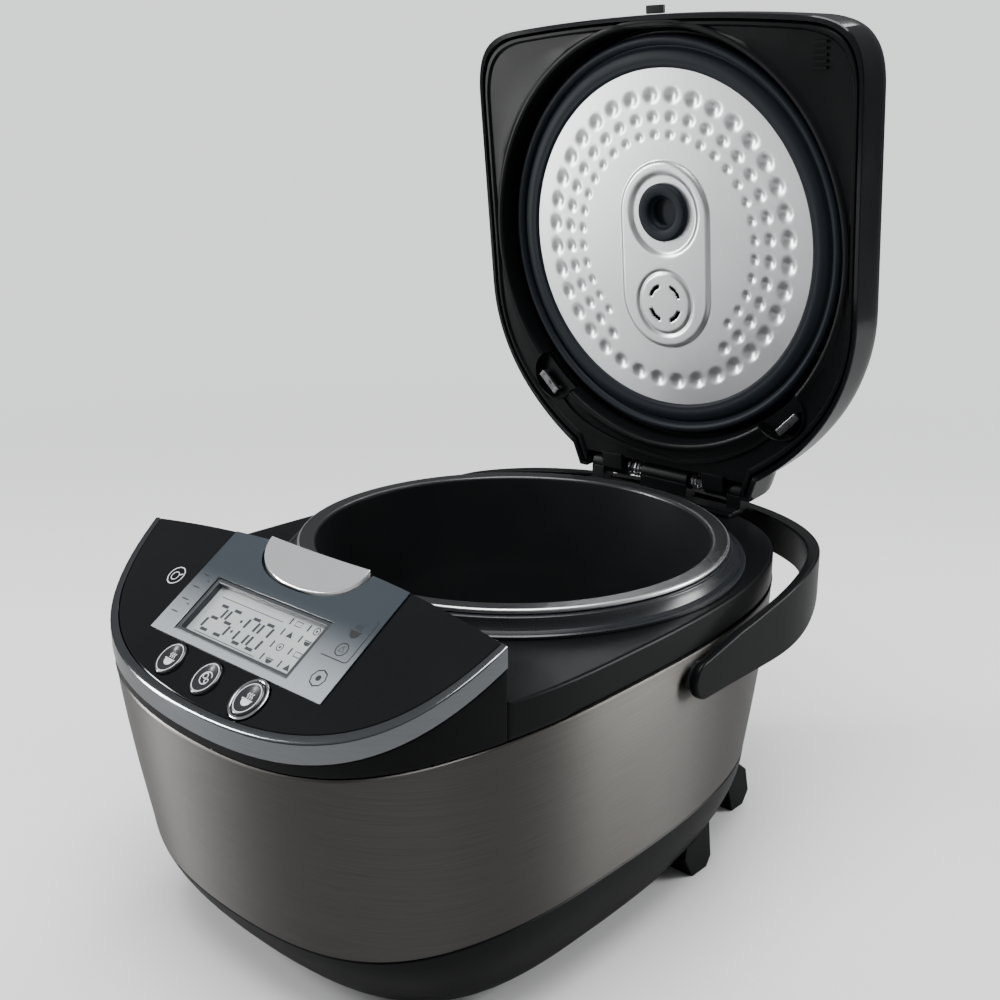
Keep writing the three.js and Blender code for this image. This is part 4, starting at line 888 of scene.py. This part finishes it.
POCKET_X, POCKET_Y = 85, 91
border = ((3.7, 185.6), (3.7, 182.6), (4.2, 182.1), (5.6, 182.1), (6.2, 182.7), (6.8, 183.6))
recess = ((127.0, 182.4), (126.2, 182.1), (124.8, 182.1), (123.8, 182.6), (123.0, 184.6),
          (122.7, 190), (121.6, 196.4), (119.8, 198), (104, 198), (104, 199.5), (124, 199.5),
          (126, 187.2))
liner_rows = [lid_row(inset, z) for inset, z in border]
liner_rows += [toward_ring(part, 127.4, z, 6.8) for part, z in ((0.45, 183.7), (0.9, 183.4))]
liner_rows += [ring_row(r, z) for r, z in recess]
liner_rows += [lid_row(3.7, 187.2), lid_row(3.7, 185.6)]
liner = skin(liner_rows)
bed = turned([(0, 198.2), (110, 198.2), (110, 199.4), (0, 199.4)], 64)
cups = []
for side in (-1, 1):
    liner = carve(liner, rod(16, 170, 191, x=side * POCKET_X, y=POCKET_Y, sides=72))
    cup = turned([(0, 189.5), (16.8, 189.5), (16.8, 182.2), (16.2, 182.0), (16, 182.3), (16, 188.2),
                  (0, 188.2)], 72, side * POCKET_X, POCKET_Y)
    cups.append(carve(cup, rod(122.8, 170, 196, sides=160)))
liner = carve(liner, block(*HINGE_NOTCH))
shapes = [liner, bed, *cups]
rib = [(-77, 101), (-69, 109), (-55, 116.5), (-33, 123.2), (-10, 126.6), (14, 127.6), (38, 122.5),
       (58, 113), (70, 105), (77, 99)]


def raised_line(points, width, low, high):
    """A raised rib that follows a line on the liner."""
    line = stroke(points, width)
    draw_up(line, high - low)
    bmesh.ops.translate(line, verts=line.verts[:], vec=(0, 0, low))
    bmesh.ops.holes_fill(line, edges=[e for e in line.edges if e.is_boundary], sides=0)
    bmesh.ops.recalc_face_normals(line, faces=line.faces[:])
    return line


def lying_bar(radius, x, length, y, z, sides=48):
    """A round bar that lies along x, as the hinge's barrels do."""
    return round_bar(radius, length, sides,
                     Matrix.Translation((x, y, z)) @ Matrix.Rotation(math.pi / 2, 4, "Y"))


def smooth_line(points, steps=5):
    """More points along a line, so that it bends evenly."""
    fine = []
    for i in range(len(points) - 1):
        a, b = Vector(points[i]), Vector(points[i + 1])
        before = Vector(points[i - 1]) if i else a
        after = Vector(points[i + 2]) if i + 2 < len(points) else b
        for k in range(steps):
            t = k / steps
            fine.append(0.5 * ((2 * a) + (b - before) * t
                               + (2 * before - 5 * a + 4 * b - after) * t * t
                               + (3 * a - before - 3 * b + after) * t ** 3))
    return [(p.x, p.y) for p in fine] + [points[-1]]


shapes.append(raised_line(smooth_line([(x * 1.03, y + 6) for x, y in rib]), 2.2, 182.2, 184.6))
for i in range(5):
    shapes.append(block(104, 112, -112 + 3.2 * i, -110.6 + 3.2 * i, 182.3, 184.4))
for left, right in ((-47, -31), (31, 47)):
    shapes.append(soften(block(left, right, 137.6, 148, 182, 191.2), 0.5))
    shapes.append(soften(lying_bar(BARREL, (left + right) / 2, right - left, *HINGE.yz), 0.6))
add_piece("lid_lining", round_over(merged(*shapes)), "lid", matt_black, ["lid_liner"],
          sharp=30)

# ---- clips and catch of the lid ----
# Sprung metal clips in the two pockets hold the inner lid. The catch at the front hooks on the latch.
clip_steel = surface("dulled_steel", (0.10, 0.10, 0.105), (0.2, 0.2, 0.21), (0.3, 0.42), metal=1.0,
                     fineness=1500)
CLIP_REACH = 133
out = CLIP_REACH / math.hypot(POCKET_X, POCKET_Y)
for side, name in ((-1, "left"), (1, "right")):
    at = Matrix.Translation((side * POCKET_X * out, POCKET_Y * out, 182.4))
    clip = merged(soften(block(-9, 9, -2.5, 2.5, 0.2, 3.4), 0.8),
                  soften(block(-8.6, -5.6, -2.2, 2.2, 0, 7.4), 0.5),
                  soften(block(5.6, 8.6, -2.2, 2.2, 0, 7.4), 0.5), rod(1.5, -0.4, 3.0, sides=24))
    clip.transform(TURN_BACK @ at @ Matrix.Rotation(-side * math.pi / 4, 4, "Z"))
    add_piece("inner_lid_clip_" + name, clip, "lid", clip_steel,
              ["lid_clip_" + name])
catch = soften(block(-6, 6, -134, -129.4, 188.1, 190.6), 0.5)
add_piece("catch_nose", round_over(catch), "lid", matt_black, ["lid_catch"])

# ---- inner lid ----
# A pressed aluminium disc with three rings of dimples that make the steam drip back evenly. A raised
# stadium in its middle holds the rubber bush of the steam duct and a slotted relief disc.
inner_lid_metal = surface("inner_lid_aluminium", (0.56, 0.57, 0.58), (0.70, 0.71, 0.72),
                          (0.28, 0.36), metal=0.85, fineness=1500, cloud=8, relief=0.06,
                          depth=0.00003)
BUSH_Y, DISC_Y = -18.2, 36.6
dents = [(85.3, 5 + 10 * i, 5.1, 1.5) for i in range(36)]
dents += [(73.2, side * (5 + 10 * i), 3.8, 1.15) for i in range(15) for side in (-1, 1)]
dents += [(63.2, side * (5 + 10 * i), 2.9, 0.9) for i in range(14) for side in (-1, 1)]
dents = [(r * math.sin(math.radians(a)), -r * math.cos(math.radians(a)), size, deep)
         for r, a, size, deep in dents]


def step(value, middle, width):
    """0 below an edge and 1 above it, with a smooth rise across its width."""
    t = min(1.0, max(0.0, (value - middle) / width + 0.5))
    return t * t * (3 - 2 * t)


def pressed(x, y):
    """How far the inner lid is pressed up or down at one place."""
    lift = 0.0
    for dx, dy, size, deep in dents:
        away = (x - dx) ** 2 + (y - dy) ** 2
        if away < size * size:
            lift += deep * (1 - away / (size * size)) ** 1.3
    stadium = math.hypot(x, y - min(31.8, max(-16.0, y))) - 31.4
    lift -= 1.5 * (1 - step(stadium, 0, 1.5))
    bush_edge = math.hypot(x, y + 17)
    lift += 1.5 * (1 - step(bush_edge, 24.3, 3.4))
    disc_edge = math.hypot(x, y - DISC_Y)
    lift += 0.9 * (step(disc_edge, 18.2, 1.2) - step(disc_edge, 20.4, 1.2))
    return lift


disc = bmesh.new()
spokes = [disc.verts.new((r, 0, 0)) for r in [0.02] + [0.86 * i for i in range(1, 119)]]
spoke_edges = [disc.edges.new(pair) for pair in zip(spokes, spokes[1:])]
bmesh.ops.spin(disc, geom=spokes + spoke_edges, cent=(0, 0, 0), axis=(0, 0, 1),
               angle=2 * math.pi, steps=320, use_merge=True, use_duplicate=False)
for vert in disc.verts:
    vert.co.z = 193.3 + pressed(vert.co.x, vert.co.y)
hole = [f for f in disc.faces if (f.calc_center_median().xy - Vector((0, BUSH_Y))).length < 14.0]
bmesh.ops.delete(disc, geom=hole, context="FACES")
for quarter in range(4):
    middle = math.radians(45 + 90 * quarter)
    slot = []
    for face in disc.faces:
        off = face.calc_center_median().xy - Vector((0, DISC_Y))
        turn = (math.atan2(off.y, off.x) - middle + math.pi) % (2 * math.pi) - math.pi
        if abs(off.length - 11) < 1.15 and abs(turn) < 0.42:
            slot.append(face)
    bmesh.ops.delete(disc, geom=slot, context="FACES")
bmesh.ops.recalc_face_normals(disc, faces=disc.faces[:])
if sum(f.normal.z for f in disc.faces) > 0:
    bmesh.ops.reverse_faces(disc, faces=disc.faces[:])
disc_piece = add_piece("inner_lid_disc", round_over(disc), "inner_lid",
                       inner_lid_metal, ["inner_lid_plate"], sharp=70)
thick = disc_piece.modifiers.new("sheet_thickness", "SOLIDIFY")
thick.thickness = 0.0006
thick.offset = -1
disc_piece.modifiers.move(1, 0)

# ---- gasket, bush and steam cap ----
# A dark blue-grey silicone gasket grips the edge of the inner lid and meets the pot's flange. The bush
# is the same rubber. The cap outside is polished plastic with three steam slots.
silicone = surface("dark_silicone", (0.004, 0.006, 0.009), (0.010, 0.014, 0.019), (0.42, 0.54),
                   fineness=1400, cloud=10, relief=0.15, depth=0.00005, specular=0.13)
gasket = [(100.0, 193.0)] + bend(2.2, 102.2, 193.4, 190, 265, 5) + bend(9.0, 105.6, 199.9, 255, 300, 8)
gasket += [(111.2, 193.2), (111.8, 193.8), (112.6, 193.6)] + bend(3.0, 115.4, 193.5, 190, 350, 12)
gasket += [(118.8, 194.2)] + bend(1.4, 116.6, 194.8, 20, 90, 5)
gasket += [(101.5, 196.6), (100.4, 195.8), (100.0, 194.9), (100.0, 193.0)]
add_piece("lid_gasket", round_over(turned(gasket, 200)), "inner_lid", silicone,
          ["seal_ring"], sharp=60)
bush = [(8, 196.2), (16.2, 196.2), (16.6, 194.9), (17.2, 192.4)] + bend(1.8, 15.4, 190.9, 0, -90, 6)
bush += [(13.4, 189.0), (11.4, 189.3)] + bend(1.4, 11.2, 190.8, 260, 180, 5)
bush += [(9.4, 192.6), (8, 193.4), (8, 196.2)]
tube = [(8.4, 194.2), (8.2, 196.6), (0.1, 196.6), (0.1, 195.9), (7.6, 195.9), (7.8, 194.2),
        (8.4, 194.2)]
bush = merged(turned(bush, 96, y=BUSH_Y), turned(tube, 48, y=BUSH_Y))
add_piece("steam_bush", round_over(bush), "inner_lid", silicone, ["vent_bush"],
          sharp=50)
cap = [(0, 217.6), (24, 217.6), (26, 217.6), (26, 233)] + bend(3, 23, 233, 0, 90, 8)
cap += [(12, 236.3), (0, 236.5)]
cap = turned(cap, 128, y=CAP_Y)
for i in (-1, 0, 1):
    cap = carve(cap, prism(oval(0, CAP_Y + 6 * i, 9, 1.3, 28), 229, 245))
soften(cap, 0.3, 2, 50)
add_piece("steam_cap_shell", round_over(cap), "steam_cap", gloss_black,
          ["steam_cap"], sharp=30)

# ---- hinge ----
# A black bracket on the deck carries a steel pin through its barrels and the lid's. Two torsion
# springs of drawn wire on the pin throw the lid open.
bracket = [soften(block(-57.6, 57.6, 130.4, 139, 178.3, 180.3), 0.4)]
for left, right in ((-18, 18), (47.8, 58), (-58, -47.8)):
    bracket.append(soften(lying_bar(BARREL, (left + right) / 2, right - left, *HINGE.yz), 0.6))
    bracket.append(soften(block(left, right, 141.6, 152, 180, 189.4), 0.6))
bracket.append(soften(block(-58, 58, 134, 146, 178.4, 181.4), 0.5))
add_piece("hinge_mount", merged(*bracket), "base", matt_black, ["hinge_bracket"],
          sharp=30)

# ---- carry handle ----
# A moulded bail: two flat arms on round pivots at the sides, swept up and back into a bar behind the
# lid. Its lower edge is rounded where the hand goes.
PIVOT_Y, PIVOT_Z = -12, 146.5


def handle_plan(inset, bar):
    x, back = 141.5 - inset, 176 - bar
    bend_y = 55 - bar / 2
    side = [(x, -42), (x, -20), (x, 10)]
    side += curve((x, bend_y), (x, bend_y + 63), (x - 33, back - 2), (0, back), 40)
    return side + [(0, back)] + [(-px, y) for px, y in reversed(side)]


def handle_side(end=10.3):
    y, z = PIVOT_Y, PIVOT_Z
    outline = arc(y, z, end, 90, 270, 24)
    outline += curve((y + 60, z - end + 0.6), (y + 115, z - 8), (y + 128, z + 8), (y + 150, z + 9), 24)
    outline += [(y + 150, z + 9), (y + 220, z + 9), (y + 220, 177.4), (y + 122, 177.4)]
    outline += curve((y + 122, 177.4), (y + 90, 177), (y + 60, z + 21), (y + 30, z + 17), 24)
    return outline + [(y + 30, z + 17)]


bail = carve(prism(handle_plan(0, 0), 120, 200), prism(handle_plan(4.7, 10), 110, 210))
bail = carve(bail, block(-136.8, 136.8, -260, PIVOT_Y, 110, 210))
bail = carve(bail, prism(handle_side(), -200, 200, SIDEWAYS), "INTERSECT")
add_piece("handle_bail", soften(bail, 1.3, 3), "handle", matt_black,
          ["carry_handle"], sharp=32)
for side, name in ((-1, "left"), (1, "right")):
    boss = lying_bar(8.5, side * 131.2, 10.4, PIVOT_Y, PIVOT_Z, sides=64)
    stud = soften(lying_bar(5, side * 137.9, 6, PIVOT_Y, PIVOT_Z), 0.5)
    add_piece("pivot_boss_" + name, merged(boss, stud), "base", key_black,
              ["handle_pivot_" + name])

# ---- underside: cover, feet, fins and inlet ----
# A flat plastic cover with cooling slots closes the tub and is held by four steel screws. The cooker
# stands on round rubber feet, with moulded fins at the sides and rear; the inlet is at the back.


def moulded_copy(node, width, segments=2, angle=38):
    """The CAD's own shape for a piece, joined up, drawn in millimetres and with its edges rounded."""
    bm = bmesh.new()
    bm.from_mesh(frame["nodes"][node].data)
    bmesh.ops.transform(bm, matrix=TO_ROW.inverted(), verts=bm.verts[:])
    bmesh.ops.remove_doubles(bm, verts=bm.verts[:], dist=0.01)
    return soften(bm, width, segments, angle)


add_piece("base_cover", moulded_copy("bottom_cover", 0.25, 1), "base", matt_black,
          ["bottom_cover"])
foot_rubber = surface("foot_rubber", (0.012, 0.013, 0.014), (0.03, 0.031, 0.033), (0.6, 0.75),
                      fineness=2600, relief=0.3)
for end, x, y in (("front", 67, -134), ("rear", 62, 88)):
    for side, name in ((-1, "left"), (1, "right")):
        foot_low, foot_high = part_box(f"{end}_foot_{name}")
        tall = (foot_high.z - foot_low.z) * 1000
        pad = [(0, 0), (5.4, 0), (5.8, 0.5), (6.6, 0.5), (7.0, 0)] + bend(1.2, 7.8, 1.2, -90, 0, 5)
        pad += [(8.9, tall - 0.2), (0, tall - 0.2), (0, 0)]
        add_piece(f"{end}_foot_pad_{name}", turned(pad, 64, side * x, y), "base",
                  foot_rubber, [f"{end}_foot_{name}"])
for name in ("left", "right"):
    for place in ("side", "rear"):
        fin = moulded_copy(f"{place}_fin_{name}", 0.7, 3, 20)
        add_piece(f"{place}_fin_rib_{name}", fin, "base", matt_black,
                  [f"{place}_fin_{name}"])
inlet_black = surface("inlet_black", (0.006, 0.0065, 0.007), (0.014, 0.015, 0.016), (0.3, 0.4),
                      fineness=1700, relief=0.15)
add_piece("inlet_socket", moulded_copy("mains_inlet", 0.5), "base", inlet_black,
          ["mains_inlet"])
screw_steel = surface("screw_steel", (0.22, 0.22, 0.23), (0.42, 0.42, 0.43), (0.28, 0.4), metal=1.0,
                      fineness=1600)
for i in range(1, 5):
    add_piece(f"cover_screw_head_{i}", moulded_copy(f"cover_screw_{i}", 0.2, 1, 50), "base",
              screw_steel, [f"cover_screw_{i}"])

# ---- latch, pin, springs and the parts inside ----
# The latch slides in the console's rear wall. The pin and springs are steel, the heater cast
# aluminium, and two green boards with bright tracks carry the electronics.
add_piece("latch_tongue", moulded_copy("latch_slide", 0.4), "latch", key_black,
          ["latch_slide"])
wire_steel = surface("drawn_wire", (0.28, 0.28, 0.29), (0.5, 0.5, 0.51), (0.22, 0.34), metal=1.0,
                     stretch=(1, 0.2, 1), fineness=3000)
cast = surface("cast_aluminium", (0.38, 0.385, 0.39), (0.52, 0.525, 0.53), (0.38, 0.55), metal=1.0,
               fineness=700, relief=0.35)
board = surface("board_mask", (0.004, 0.05, 0.018), (0.012, 0.11, 0.04), (0.25, 0.4), fineness=600)
board_tree = board.node_tree
tracks = add_node(board_tree, "TexBrick", {"Scale": 160, "Mortar Size": 0.035,
                                           "Mortar": (0.4, 0.26, 0.08, 1)})
join(board_tree, board_tree.nodes["Texture Coordinate"], "Object", tracks, "Vector")
join(board_tree, board_tree.nodes["tones"], "Result", tracks, "Color1")
join(board_tree, board_tree.nodes["tones"], "Result", tracks, "Color2")
join(board_tree, tracks, "Color", board_tree.nodes["Principled BSDF"], "Base Color")
for material, names in (
        (wire_steel, ("hinge_spring_left", "hinge_spring_right", "release_spring", "sensor_spring",
                      "hinge_pin")),
        (cast, ("heater_plate", "sensor_plunger", "heat_shield")),
        (board, ("control_board", "power_board"))):
    for name in names:
        worn = frame["nodes"][name].data.materials
        worn.clear()
        worn.append(material)
